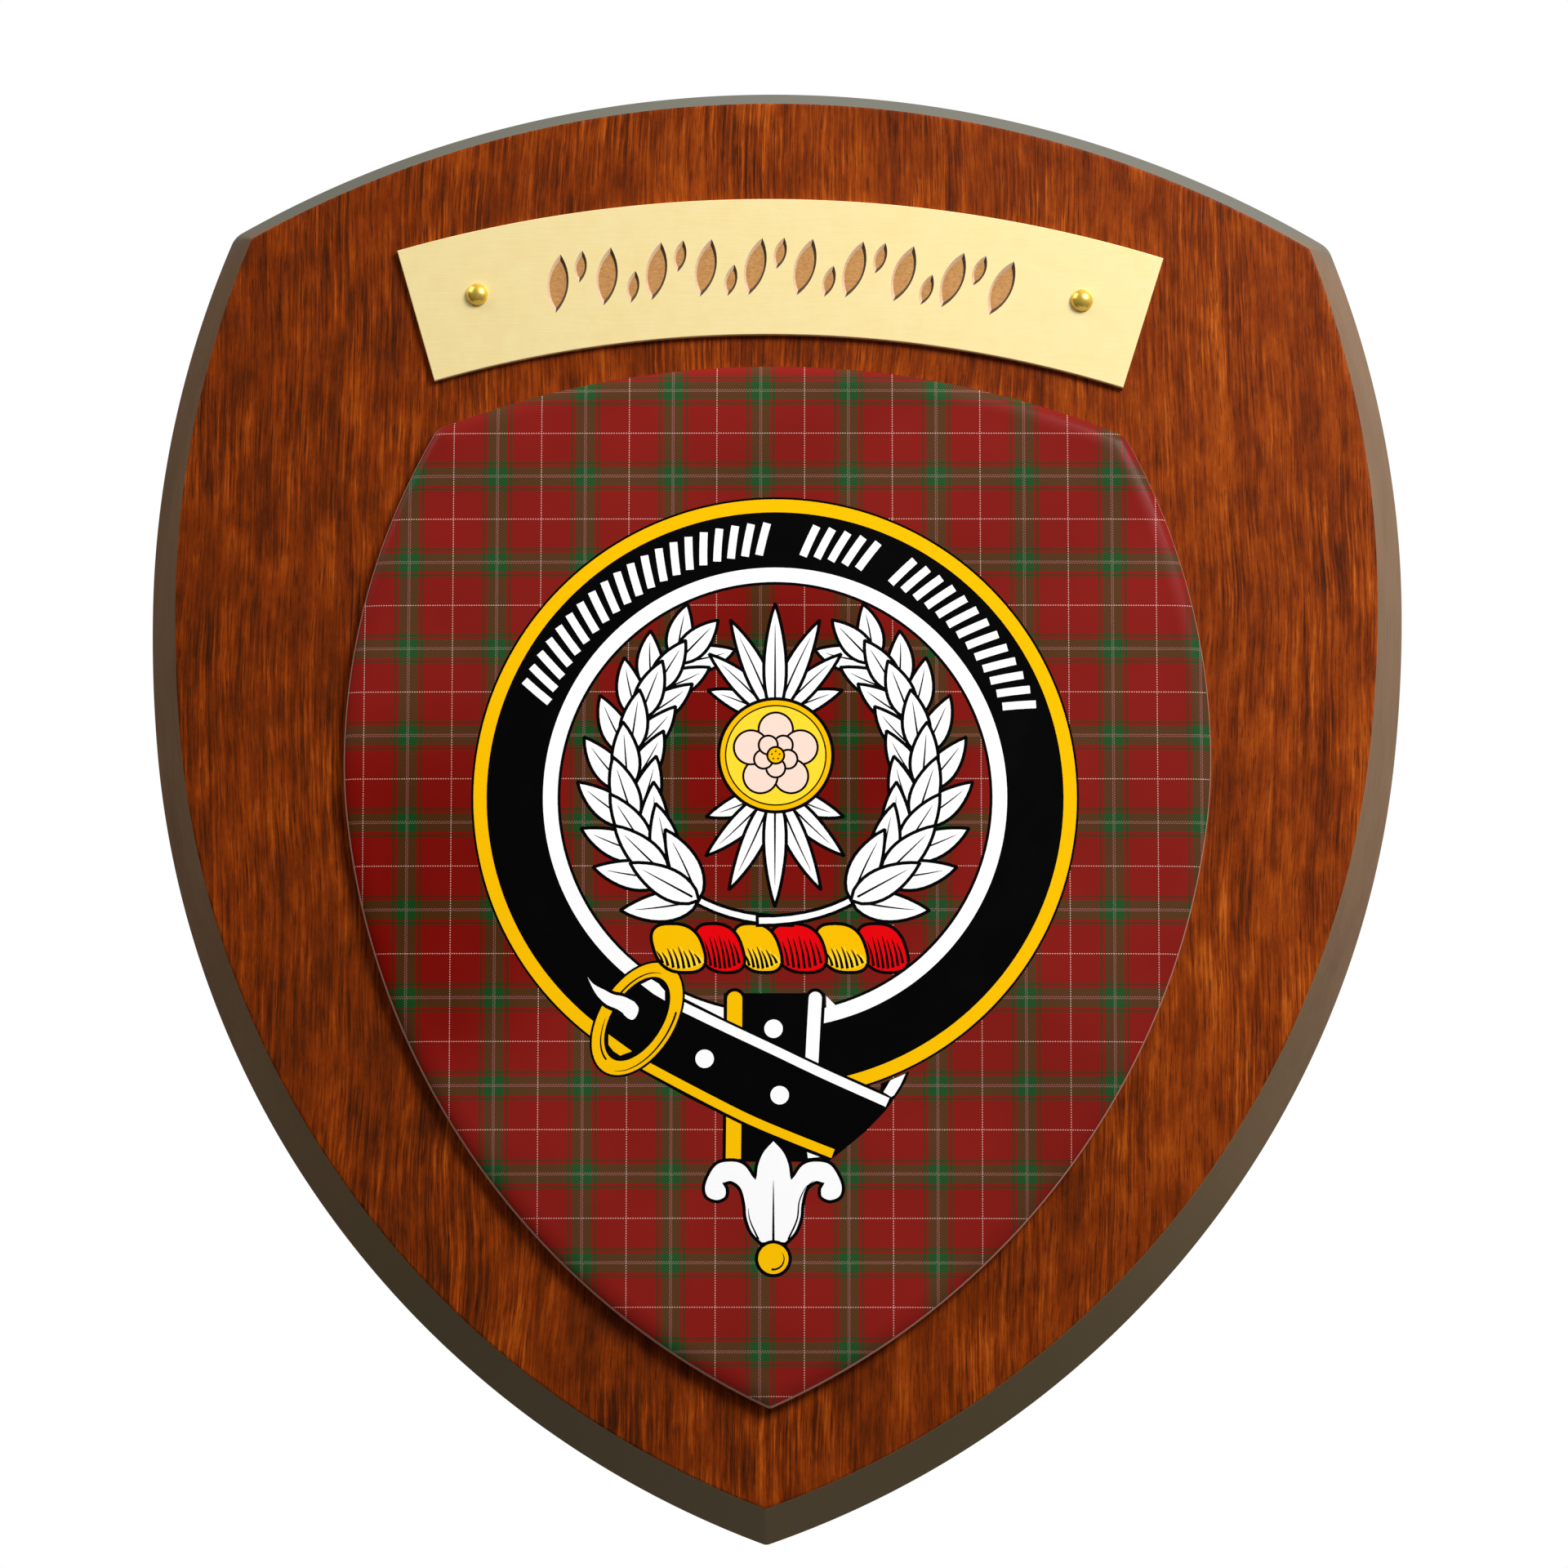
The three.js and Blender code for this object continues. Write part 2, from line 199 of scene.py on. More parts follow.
def ramp(tree, value, stops, how="LINEAR"):
    """A value looked up between (position, colour) stops, as an output socket."""
    made = add(tree, "ValToRGB", _0=value)
    made.color_ramp.interpolation = how
    elements = made.color_ramp.elements
    while len(elements) < len(stops):
        elements.new(0.5)
    for element, (position, colour) in zip(elements, stops):
        element.position = position
        element.color = colour
    return made.outputs[0]


def spread(tree, value, reach, onto=(0.0, 1.0), how="LINEAR"):
    """A value between the two ends of its reach, moved to the same share between two other ends."""
    ends = {"from_min": reach[0], "from_max": reach[1], "to_min": onto[0], "to_max": onto[1]}
    return add(tree, "MapRange", {"interpolation_type": how}, value=value, **ends).outputs[0]


def bumps(tree, height, strength, depth):
    """Normals tilted by the slope of a height, where 1 stands for a depth in millimetres."""
    return add(tree, "Bump", height=height, strength=strength, distance=depth * MM).outputs[0]


def new_material(name):
    """An empty material: its node tree, its main shader, and object coordinates."""
    material = bpy.data.materials.new(name)
    material.use_nodes = True
    tree = material.node_tree
    shader = tree.nodes["Principled BSDF"]
    place = add(tree, "TexCoord").outputs["Object"]
    return material, tree, shader, place


def noise(tree, place, sizes, detail=3.0, roughness=0.55, seed=0.0):
    """Smooth random values whose blotches are sizes (x, y, z) millimetres across."""
    scale = tuple(1 / (size * MM) for size in sizes)
    moved = add(tree, "Mapping", vector=place, scale=scale, location=(seed, seed, seed)).outputs[0]
    return add(tree, "TexNoise", vector=moved, scale=1.0, detail=detail, roughness=roughness).outputs[0]


print("material helpers are ready")

# %% [markdown]
# ## Light and floor
# The plaque was photographed in soft white light from the upper right, and cut out on white. One
# large lamp gives the short soft shadows under the nameplate and the panel, and a weaker one opens
# up the left. The sky is bright only towards the upper right, so the bevel grows darker round to
# the lower left, and black ink stays black because nothing bright lies straight in front of it.
# The camera itself sees plain white behind the plaque.

# %% Lamps
KEY_PLACE = (0.42, -0.62, 0.50)
KEY_SIZE = 0.36
KEY_POWER = 8.7
FILL_PLACE = (-1.0, -0.45, 0.9)
FILL_SIZE = 0.8
FILL_POWER = 8.2


def lamp(name, place, size, power):
    """A square lamp that faces the middle of the plaque."""
    light = bpy.data.lights.new(name, "AREA")
    light.size = size
    light.energy = power
    backward = unit(place)
    sideways = unit(np.cross([0.0, 0.0, 1.0], backward))
    made = new_object(name, light)
    made.matrix_world = standing(place, sideways, np.cross(backward, sideways), backward)
    print(name, "is", round(float(np.linalg.norm(place)), 2), "m away")


lamp("key_lamp", KEY_PLACE, KEY_SIZE, KEY_POWER)
lamp("fill_lamp", FILL_PLACE, FILL_SIZE, FILL_POWER)

# %% Sky
SKY_TOWARDS = (0.62, 0.0, 0.78)
SKY_STOPS = [(0.0, 0.03), (0.45, 0.06), (0.62, 0.2), (0.85, 0.62), (1.0, 0.8)]

world = bpy.data.worlds.new("studio")
bpy.context.scene.world = world
world.use_nodes = True
sky = world.node_tree
sky.nodes.clear()
direction = add(sky, "TexCoord").outputs["Generated"]
towards = add(sky, "VectorMath", {"operation": "DOT_PRODUCT"}, _0=direction, _1=SKY_TOWARDS)
share = calc(sky, "MULTIPLY_ADD", towards.outputs["Value"], 0.5, 0.5)
light = ramp(sky, share, [(at, (grey, grey, grey, 1.0)) for at, grey in SKY_STOPS])
lit = add(sky, "Background", color=light, strength=1.0)
seen = add(sky, "Background", color=(1.0, 1.0, 1.0, 1.0), strength=1.0)
is_camera = add(sky, "LightPath").outputs["Is Camera Ray"]
both = add(sky, "MixShader", _0=is_camera, _1=lit.outputs[0], _2=seen.outputs[0])
add(sky, "OutputWorld", surface=both.outputs[0])
bpy.context.scene.view_settings.view_transform = "Standard"
print("sky is brightest towards", SKY_TOWARDS)

# %% Floor
FLOOR_Z = -0.85
FLOOR_WIDTH = 1.2

half = FLOOR_WIDTH / 2
floor_mesh = bpy.data.meshes.new("floor")
corners = [(-half, -half, FLOOR_Z), (half, -half, FLOOR_Z), (half, half, FLOOR_Z), (-half, half, FLOOR_Z)]
floor_mesh.from_pydata(corners, [], [(0, 1, 2, 3)])
floor = new_object("floor", floor_mesh)
floor_finish, tree, shader, place = new_material("pale_floor")
feed(tree, shader, base_color=srgb(226, 226, 224), roughness=0.9)
floor_mesh.materials.append(floor_finish)
print("floor is", FLOOR_WIDTH, "m wide")

# %% [markdown]
# ## The shield outline
# Both shields are drawn with a compass: one arc across the top, a small rounding at the corner, an
# arc down to the widest place, a flatter one below it, and a long arc in to the point. Moving every
# arc in by the same amount gives a smaller shield whose points pair up with the first, and that is
# how bevels and rims are made.

# %% Shield outline
POINTS_ON_ARCS = {"top": 60, "corner": 9, "upper": 30, "lower": 14, "flank": 90, "tip": 7}
SHARPEST_CORNER = 0.3
BOARD_WIDEST_DROP = 74.1  # from the top down to the widest place


def arc(centre, radius, start, end, count):
    """Points of an arc: the centre plus the radius times (cos, sin) of evenly spaced angles."""
    angle = np.linspace(start, end, count)
    return np.asarray(centre) + radius * np.stack([np.cos(angle), np.sin(angle)], axis=1)


def disc(centre, radius, count=64):
    """Points of a whole circle: an arc of a full turn, without the last point, which is the first."""
    return arc(centre, radius, 0, 2 * math.pi, count + 1)[:-1]


def crossing(centre_a, radius_a, centre_b, radius_b):
    """The right-hand point where two circles cross, from the triangle of both radii."""
    between = centre_b - centre_a
    distance = np.linalg.norm(between)
    along = (radius_a**2 - radius_b**2 + distance**2) / (2 * distance)
    aside = math.sqrt(max(radius_a**2 - along**2, 0.0))
    foot = centre_a + along * between / distance
    sideways = aside * left_of(between) / distance
    return max(foot + sideways, foot - sideways, key=lambda point: point[0])


def bearing(point, centre):
    """The angle at which a point is seen from a centre."""
    return math.atan2(point[1] - centre[1], point[0] - centre[0])


def shield_outline(shield, inset=0.0):
    """A closed ring of points: five kinds of arcs down the right side, mirrored on the left."""
    count = POINTS_ON_ARCS
    corner_radius = max(shield["corner"] - inset, SHARPEST_CORNER)
    tip_radius = max(shield["tip_radius"] - inset, SHARPEST_CORNER)
    top_radius = shield["top_radius"] - inset
    upper_radius = shield["upper_radius"] - inset
    top_centre = np.array([0.0, shield["top"] - shield["top_radius"]])
    upper_centre = np.array([shield["half"] - shield["upper_radius"], shield["widest"]])
    lower_centre = np.array([shield["half"] - shield["lower_radius"], shield["widest"]])

    corner_centre = crossing(
        top_centre, top_radius - corner_radius, upper_centre, upper_radius - corner_radius
    )
    top_end = bearing(corner_centre, top_centre)
    corner_end = bearing(corner_centre, upper_centre)

    lower_end = -math.radians(shield["lower_turn"])
    aim = np.array([math.cos(lower_end), math.sin(lower_end)])
    flank_start = lower_centre + shield["lower_radius"] * aim
    to_tip = np.array([0.0, shield["tip"]]) - flank_start
    flank_full = -to_tip.dot(to_tip) / (2 * to_tip.dot(aim))
    flank_centre = flank_start - flank_full * aim
    flank_radius = flank_full - inset
    tip_drop = math.sqrt((flank_radius - tip_radius) ** 2 - flank_centre[0] ** 2)
    tip_centre = np.array([0.0, flank_centre[1] - tip_drop])
    flank_end = bearing(tip_centre, flank_centre)

    side = np.concatenate(
        [
            arc(top_centre, top_radius, math.pi / 2, top_end, count["top"]),
            arc(corner_centre, corner_radius, top_end, corner_end, count["corner"])[1:],
            arc(upper_centre, upper_radius, corner_end, 0.0, count["upper"])[1:],
            arc(lower_centre, shield["lower_radius"] - inset, 0.0, lower_end, count["lower"])[1:],
            arc(flank_centre, flank_radius, lower_end, flank_end, count["flank"])[1:],
            arc(tip_centre, tip_radius, flank_end, -math.pi / 2, count["tip"])[1:],
        ]
    )
    return np.concatenate([side, side[-2:0:-1] * [-1.0, 1.0]])


board_shield = {
    "half": board_high[0],
    "top": board_high[2],
    "tip": -board_high[2],
    "widest": board_high[2] - BOARD_WIDEST_DROP,
    "top_radius": 150.0,
    "upper_radius": 140.0,
    "lower_radius": 192.0,
    "lower_turn": 6.2,
    "corner": 3.4,
    "tip_radius": 1.3,
}
outline = shield_outline(board_shield)
print("board outline:", len(outline), "points,", np.round(outline.min(0), 2), np.round(outline.max(0), 2))

# %% [markdown]
# ## Surfaces from grids
# A shape that runs round an outline is a grid: one direction follows the outline, the other follows
# the profile of the edge. The corners of such a profile are rounded with a small arc each, because
# a real edge is never perfectly sharp, and that arc is what catches the light.

# %% Surface helpers


def link_piece(name, mesh):
    """A new object for a mesh, riding on the plaque's only body."""
    made = new_object(name, mesh)
    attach(made, "root")
    return made


def rounded(corners, radii, steps=5, support=0.25):
    """A profile with its inner corners rounded. Each corner gives way to an arc that starts and
    ends radius times tan(half the turn) from it, with a spare point just outside both ends so that
    the flat parts stay flat when they are shaded."""
    corners = np.asarray(corners, dtype=float)
    profile = [corners[0]]
    for before, corner, after, radius in zip(corners, corners[1:], corners[2:], radii):
        inward, outward = unit(before - corner), unit(after - corner)
        half_turn = (math.pi - math.acos(np.clip(inward.dot(outward), -1, 1))) / 2
        reach = radius * math.tan(half_turn)
        middle, along = unit(inward + outward), unit(outward - inward)
        centre = corner + middle * radius / math.cos(half_turn)
        sweep = np.linspace(-half_turn, half_turn, steps + 1)[:, None]
        round_part = centre + radius * (along * np.sin(sweep) - middle * np.cos(sweep))
        start, end = corner + inward * (reach + support), corner + outward * (reach + support)
        profile += [start, *round_part, end]
    profile.append(corners[-1])
    return np.array(profile)


def grid_faces(rows, columns):
    """Quads of a grid whose columns close on themselves."""
    row, column = np.meshgrid(np.arange(rows - 1), np.arange(columns), indexing="ij")
    corner = row * columns + column
    beside = row * columns + (column + 1) % columns
    return np.stack([corner, beside, beside + columns, corner + columns], axis=-1).reshape(-1, 4)


def capped_grid(name, rings):
    """A closed mesh over rings of points, (rows, columns, 3) in millimetres, from the back to the
    front, with flat ends."""
    rows, columns = rings.shape[:2]
    faces = grid_faces(rows, columns).tolist()
    faces.append(list(range(columns))[::-1])
    faces.append(list(range((rows - 1) * columns, rows * columns)))
    mesh = bpy.data.meshes.new(name)
    mesh.from_pydata((rings.reshape(-1, 3) * MM).tolist(), [], faces)
    mesh.shade_smooth()
    return mesh


def counter_clockwise(points):
    """The same outline, turned round if its signed area is negative."""
    x, z = points[:, 0], points[:, 1]
    area = np.sum(x * np.roll(z, -1) - z * np.roll(x, -1))
    return points if area > 0 else points[::-1]


def upright_rings(outlines, depths):
    """Outlines in x and z, one to each depth, as rings of points in space. They run
    counter-clockwise as seen from the front, so that the faces between them point outwards."""
    rings = np.empty((len(outlines), len(outlines[0]), 3))
    rings[..., [0, 2]] = [counter_clockwise(outline) for outline in outlines]
    rings[..., 1] = np.asarray(depths)[:, None]
    return rings


print("surface helpers are ready")

# %% [markdown]
# ## The board
# The board is sawn to the shield outline, bevelled all round, and softened at every edge before it
# is lacquered. Its profile runs from the back, over the thin upright land, up the bevel and onto
# the face, and is carried round the outline by insets. A keyhole slot for the wall screw is cut
# into the back with booleans, as a router would cut it, and so are the blind pilot holes of the
# pins. Edges that turn by more than 40 degrees are then marked sharp, so that the shading of the
# walls of the cuts doesn't spread over the flat faces.

# %% Board
BEVEL_WIDTH = 4.7
LAND = 4.0
FLAT_RUN = 8.0  # how far in from the outline the profile ends, on both flat faces
EDGE_RADII = (0.3, 1.0, 0.45)  # behind the land, in front of it, and where the bevel meets the face

profile = rounded(
    corners=[(FLAT_RUN, 0.0), (0.0, 0.0), (0.0, -LAND), (BEVEL_WIDTH, FACE_Y), (FLAT_RUN, FACE_Y)],
    radii=EDGE_RADII,
)
rings = upright_rings([shield_outline(board_shield, inset) for inset in profile[:, 0]], profile[:, 1])
board = link_piece("plaque_board", capped_grid("plaque_board", rings))
print("board before its cuts:", len(board.data.polygons), "faces")

# %% Keyhole and pilot holes
KEYHOLE_BELOW_TOP = 40.0
KEYHOLE_ENTRY = 10.0
KEYHOLE_SLOT = 5.0
KEYHOLE_RUN = 11.0
KEYHOLE_DEPTH = 9.0
KEYHOLE_LIP = 3.0
PILOT_HOLE = 1.7
PILOT_SPARE = 0.5
OVERRUN = 1.0  # how far a cutter stands out of the board
SHARP_ANGLE = 40


def stadium(width, run, bottom, count=33):
    """A slot's outline: two half circles a run apart, joined by straight sides."""
    lower = arc((0.0, bottom), width / 2, math.pi, 2 * math.pi, count)
    upper = arc((0.0, bottom + run), width / 2, 0.0, math.pi, count)
    return np.concatenate([lower, upper])


def cut(piece, shape, depth_from, depth_to):
    """Takes a straight-walled shape out of a piece, between two depths."""
    rings = upright_rings([shape, shape], [depth_from, depth_to])
    cutter = new_object("cutter", capped_grid("cutter", rings))
    boolean = piece.modifiers.new("cut", "BOOLEAN")
    boolean.object = cutter
    boolean.operation = "DIFFERENCE"
    boolean.solver = "EXACT"
    shaped = piece.evaluated_get(bpy.context.evaluated_depsgraph_get())
    result = bpy.data.meshes.new_from_object(shaped)
    piece.modifiers.clear()
    piece.data = result
    bpy.data.objects.remove(cutter)


entry = board_high[2] - KEYHOLE_BELOW_TOP
through_lip = (KEYHOLE_LIP + KEYHOLE_DEPTH) / 2
cut(board, stadium(KEYHOLE_SLOT, KEYHOLE_RUN, entry), OVERRUN, -through_lip)
cut(board, stadium(KEYHOLE_ENTRY, KEYHOLE_RUN, entry), -KEYHOLE_LIP, -KEYHOLE_DEPTH)
cut(board, disc((0.0, entry), KEYHOLE_ENTRY / 2), OVERRUN, -through_lip)
for node in ("pin_left", "pin_right"):
    low, high = node_box(node)
    around_pin = disc((low + high)[[0, 2]] / 2, PILOT_HOLE / 2, 32)
    cut(board, around_pin, high[1] + PILOT_SPARE, FACE_Y - OVERRUN)
board.data.set_sharp_from_angle(angle=math.radians(SHARP_ANGLE))
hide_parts("board")
print("board with its cuts:", len(board.data.polygons), "faces")

# %% [markdown]
# ## Mahogany
# Mahogany cut along its length shows long fine streaks, brown on orange, with short dark pores.
# Noise that is stretched along the grain gives all of them: broad drifts of colour, small clouds,
# streaks half a millimetre wide, hairlines, and pores a few millimetres long. The place at which
# the grain is looked up wanders sideways, so that no streak runs quite straight, and the streaks
# are lively in some patches and quiet in others. The sum of all of them is a tone, which is painted
# a little lighter to the right and the top as painted light from the upper right, and is looked up
# between five browns.

# %% Mahogany
WANDER, SHAKE = 6.0, 0.4  # how far the grain moves aside, in millimetres
DRIFT, CLOUDS, STREAKS, HAIRS = 0.17, 0.25, 0.31, 0.2  # how much each layer sways the tone
QUIET, LIVELY = 0.5, 1.45  # what the figure is multiplied by in its patches
# Painted light: how much lighter the wood is painted to the right and upwards.
LEAN, LEAN_UP = 0.25, 0.5  # tone gained per metre to the right, and the share of that upwards
PORE_SHARE = 0.55
BROWNS = {
    0.37: (50, 20, 3),
    0.44: (84, 31, 3),
    0.5: (117, 44, 3),
    0.56: (148, 63, 8),
    0.63: (184, 92, 24),
}

wood_finish, tree, shader, place = new_material("mahogany_face")
wander = noise(tree, place, (60.0, 60.0, 45.0), detail=1.0, seed=3.0)
shake = noise(tree, place, (2.6, 2.6, 6.0), detail=2.0, seed=6.0)
shift = calc(tree, "MULTIPLY", calc(tree, "SUBTRACT", wander, 0.5), WANDER * MM)
shift = calc(tree, "MULTIPLY_ADD", calc(tree, "SUBTRACT", shake, 0.5), SHAKE * MM, shift)
moved = add(tree, "CombineXYZ", x=shift).outputs[0]
grain_place = add(tree, "VectorMath", {"operation": "ADD"}, _0=place, _1=moved).outputs[0]
drift = noise(tree, grain_place, (5.0, 5.0, 40.0), detail=4.0, roughness=0.6, seed=11.0)
clouds = noise(tree, grain_place, (3.2, 3.2, 7.0), detail=6.0, roughness=0.7, seed=9.0)
streaks = noise(tree, grain_place, (0.55, 0.55, 20.0), detail=5.0, roughness=0.66, seed=1.0)
hairs = noise(tree, grain_place, (0.22, 0.22, 9.0), detail=2.0, roughness=0.6, seed=5.0)
pores = noise(tree, grain_place, (0.2, 0.2, 4.0), detail=1.0, seed=8.0)
tone = calc(tree, "MULTIPLY_ADD", drift, DRIFT, 0.5 * (1 - DRIFT - CLOUDS))
tone = calc(tree, "MULTIPLY_ADD", clouds, CLOUDS, tone)
figure = calc(tree, "MULTIPLY_ADD", streaks, STREAKS, -0.5 * (STREAKS + HAIRS))
figure = calc(tree, "MULTIPLY_ADD", hairs, HAIRS, figure)
patches = noise(tree, place, (7.0, 7.0, 16.0), detail=2.0, seed=16.0)
lively = spread(tree, patches, (0.36, 0.64), (QUIET, LIVELY))
tone = calc(tree, "MULTIPLY_ADD", figure, lively, tone)
# Painted light: the tone grows lighter to the right and upwards, as the light falls from the upper right.
side = add(tree, "SeparateXYZ", _0=place)
lean = calc(tree, "ADD", side.outputs[0], calc(tree, "MULTIPLY", side.outputs[2], LEAN_UP))
tone = calc(tree, "MULTIPLY_ADD", lean, LEAN, tone)
wood_colour = ramp(tree, tone, [(at, srgb(*brown)) for at, brown in BROWNS.items()])
pore_depth = spread(tree, pores, (0.58, 0.65))
pore_share = calc(tree, "MULTIPLY", pore_depth, PORE_SHARE)
wood_colour = blend_colours(tree, pore_share, wood_colour, srgb(44, 17, 5))
relief = calc(tree, "SUBTRACT", calc(tree, "MULTIPLY", hairs, 0.3), pore_depth)
feed(
    tree,
    shader,
    base_color=wood_colour,
    roughness=spread(tree, streaks, (0.3, 0.7), (0.46, 0.38)),
    normal=bumps(tree, relief, 0.25, 0.03),
    specular_ior_level=0.06,
)
print(wood_finish.name, "has", len(tree.nodes), "nodes")

# %% [markdown]
# ## The bevel's finish
# The bevel was toned to a plain grey brown that hides the end grain. Along the top it is painted
# greyer, as a painted sheen of the light from above, and towards the point it is painted a darker
# olive, as painted shade. It is a second material on the same board, and the faces that it
# belongs to are found by the way they face: those that look neither forwards nor backwards, apart
# from the walls of the cuts, which are bare wood.

# %% Bevel
# Heights over which the painted sheen along the top and the painted shade towards the point fade in.
TOP_FROM, TOP_TO = 76.0, 82.0
LOW_FROM, LOW_TO = -20.0, -70.0

bevel_finish, tree, shader, place = new_material("toned_bevel")
lines = noise(tree, place, (0.7, 0.7, 9.0), detail=3.0, seed=2.0)
clouds = noise(tree, place, (14.0, 14.0, 22.0), detail=2.0, seed=4.0)
shade = calc(tree, "MULTIPLY_ADD", lines, 0.5, calc(tree, "MULTIPLY", clouds, 0.5))
bevel_colour = ramp(tree, shade, [(0.35, srgb(118, 90, 63)), (0.65, srgb(136, 105, 77))])
up_high = add(tree, "SeparateXYZ", _0=place).outputs[2]
# Painted sheen: the bevel is painted greyer along the top, where the light from above shows on it.
painted_sheen_top = spread(tree, up_high, (TOP_FROM * MM, TOP_TO * MM))
bevel_colour = blend_colours(tree, painted_sheen_top, bevel_colour, srgb(105, 103, 90))
# Painted shade: the bevel is painted a darker olive towards the point.
painted_shade_low = spread(tree, up_high, (LOW_FROM * MM, LOW_TO * MM))
bevel_colour = blend_colours(tree, painted_shade_low, bevel_colour, srgb(111, 95, 67))
feed(tree, shader, base_color=bevel_colour, roughness=0.42, specular_ior_level=0.12)
feed(tree, shader, normal=bumps(tree, lines, 0.15, 0.03))
print(bevel_finish.name, "has", len(tree.nodes), "nodes")

# %% Finishes on the board
FLAT_FACING = 0.75  # how much of a normal points along y on a face that is not on the bevel
CUTS_HALF_WIDTH, CUTS_TOP = 45.0, 85.0  # the cuts all lie above the middle, within these

board.data.materials.append(wood_finish)
board.data.materials.append(bevel_finish)
faces = board.data.polygons
facing = np.abs(each(faces, "normal", 3)[:, 1])
x, _, z = each(faces, "center", 3).T / MM
in_a_cut = (np.abs(x) < CUTS_HALF_WIDTH) & (z > 0.0) & (z < CUTS_TOP)
on_bevel = (facing < FLAT_FACING) & ~in_a_cut
faces.foreach_set("material_index", on_bevel.astype(np.int32))
print("faces with the bevel's finish:", int(on_bevel.sum()), "of", len(faces))

# %% [markdown]
# ## Cutting a flat shape into regions
# The nameplate's engraving and the panel's printed emblem are both drawings on a surface. To keep
# their edges crisp at any distance, the surface itself is divided along the lines of the drawing.
# Blender's Delaunay triangulation takes all the lines at once and returns triangles that never
# cross one. A triangle then belongs to the last outline drawn round its middle.

# %% Region helper
SAME_PLACE = 1e-5  # points nearer to each other than this are made one


def covers(outline, places):
    """Which places an outline goes round. Its winding number counts the edges that pass upwards on
    the right of a place, less those that pass downwards, and is positive inside."""
    start, end = outline[:, None], np.roll(outline, -1, 0)[:, None]
    step, away = end - start, places[None] - start
    left = step[..., 0] * away[..., 1] - step[..., 1] * away[..., 0]
    below_start, below_end = start[..., 1] <= places[:, 1], end[..., 1] <= places[:, 1]
    upwards = below_start & ~below_end & (left > 0)
    downwards = ~below_start & below_end & (left < 0)
    return upwards.sum(0) - downwards.sum(0) > 0


def regions(outlines, guides=(), loose=None):
    """Triangles over overlapping closed outlines: points, triangles, and for each triangle the
    number of the last outline that covers it. Triangles outside the first outline are dropped.
    Guides are closed lines that the triangles also keep to, and loose points make them finer."""
    lines = [*outlines, *guides]
    starts = np.cumsum([0] + [len(line) for line in lines])
    edges = np.arange(starts[-1])[:, None] + [0, 1]
    edges[starts[1:] - 1, 1] = starts[:-1]
    points = np.concatenate(lines if loose is None else [*lines, loose])
    made = delaunay_2d_cdt(points.tolist(), edges.tolist(), [], 0, SAME_PLACE, False)
    points, _, triangles, *_ = made
    points = np.array([tuple(point) for point in points])
    triangles = np.array(triangles)
    middles = points[triangles].mean(1)
    on_top = np.full(len(triangles), -1)
    for number, outline in enumerate(outlines):
        near = ((middles > outline.min(0)) & (middles < outline.max(0))).all(1).nonzero()[0]
        on_top[near[covers(counter_clockwise(outline), middles[near])]] = number
    within = covers(counter_clockwise(outlines[0]), middles)
    return points, triangles[within], on_top[within]


print("region helper is ready")

# %% [markdown]
# ## The nameplate
# The nameplate is a strip of sheet brass cut to two arcs about one centre, with its edges just
# broken. It carries a row of engraved marks: broad strokes pointed at both ends, with a short
# stroke between each and the next. A grid carries the edge round the strip, and the face inside it
# is divided along the marks. Sloping walls lead from there down to a smaller floor of the same
# form, as a graver leaves them.

# %% Nameplate outline
PLATE_HEIGHT = 19.1
PLATE_RADIUS = 183.7
PLATE_FRONT = plate_low[1]
PIN_INSET = 9.0
PIN_RAISE = 0.7
plate_centre = plate_high[2] - PLATE_RADIUS
plate_middle = PLATE_RADIUS - PLATE_HEIGHT / 2
plate_half_angle = math.asin(plate_high[0] / PLATE_RADIUS)
pin_angle = plate_half_angle - PIN_INSET / plate_middle


def on_plate(angle, radius):
    """A place on the nameplate, from an angle to the right of upright and a radius."""
    return np.array([radius * math.sin(angle), plate_centre + radius * math.cos(angle)])


def plate_outline(inset, count=80):
    """The strip between two arcs, moved in by an inset on all four sides."""
    trim = inset / plate_middle
    start = math.pi / 2 + plate_half_angle - trim
    end = math.pi / 2 - plate_half_angle + trim
    upper = arc((0.0, plate_centre), PLATE_RADIUS - inset, start, end, count)
    lower = arc((0.0, plate_centre), PLATE_RADIUS - PLATE_HEIGHT + inset, end, start, count)
    return np.concatenate([upper, lower])


print("pins stand", round(math.degrees(pin_angle), 2), "degrees to each side")

# %% Engraved marks
MARK_COUNT = 10
MARK_DEPTH = 0.35
MARK_WIDTH = 2.9
MARK_MARGIN = 5.4
MARK_LEAN = 14.0
MARK_TO_PIN = 11.2
ACCENT_WIDTH = 1.7
ACCENT_SHARE = 0.55
ACCENT_OFFSET = 3.43
WALL_RUN = 0.28


def turned(points, angle):
    """Points turned counter-clockwise about the origin."""
    cosine, sine = math.cos(angle), math.sin(angle)
    return points @ np.array([[cosine, sine], [-sine, cosine]])


def pen_stroke(place, tilt, length, width, count=14):
    """A stroke pointed at both ends: two shallow arcs that bow by half the width each."""
    bow = width / 2
    radius = ((length / 2) ** 2 + bow**2) / (2 * bow)
    sweep = math.asin(length / 2 / radius)
    side = arc((bow - radius, 0.0), radius, -sweep, sweep, count)
    return turned(np.concatenate([side, -side[1:-1]]), tilt) + place


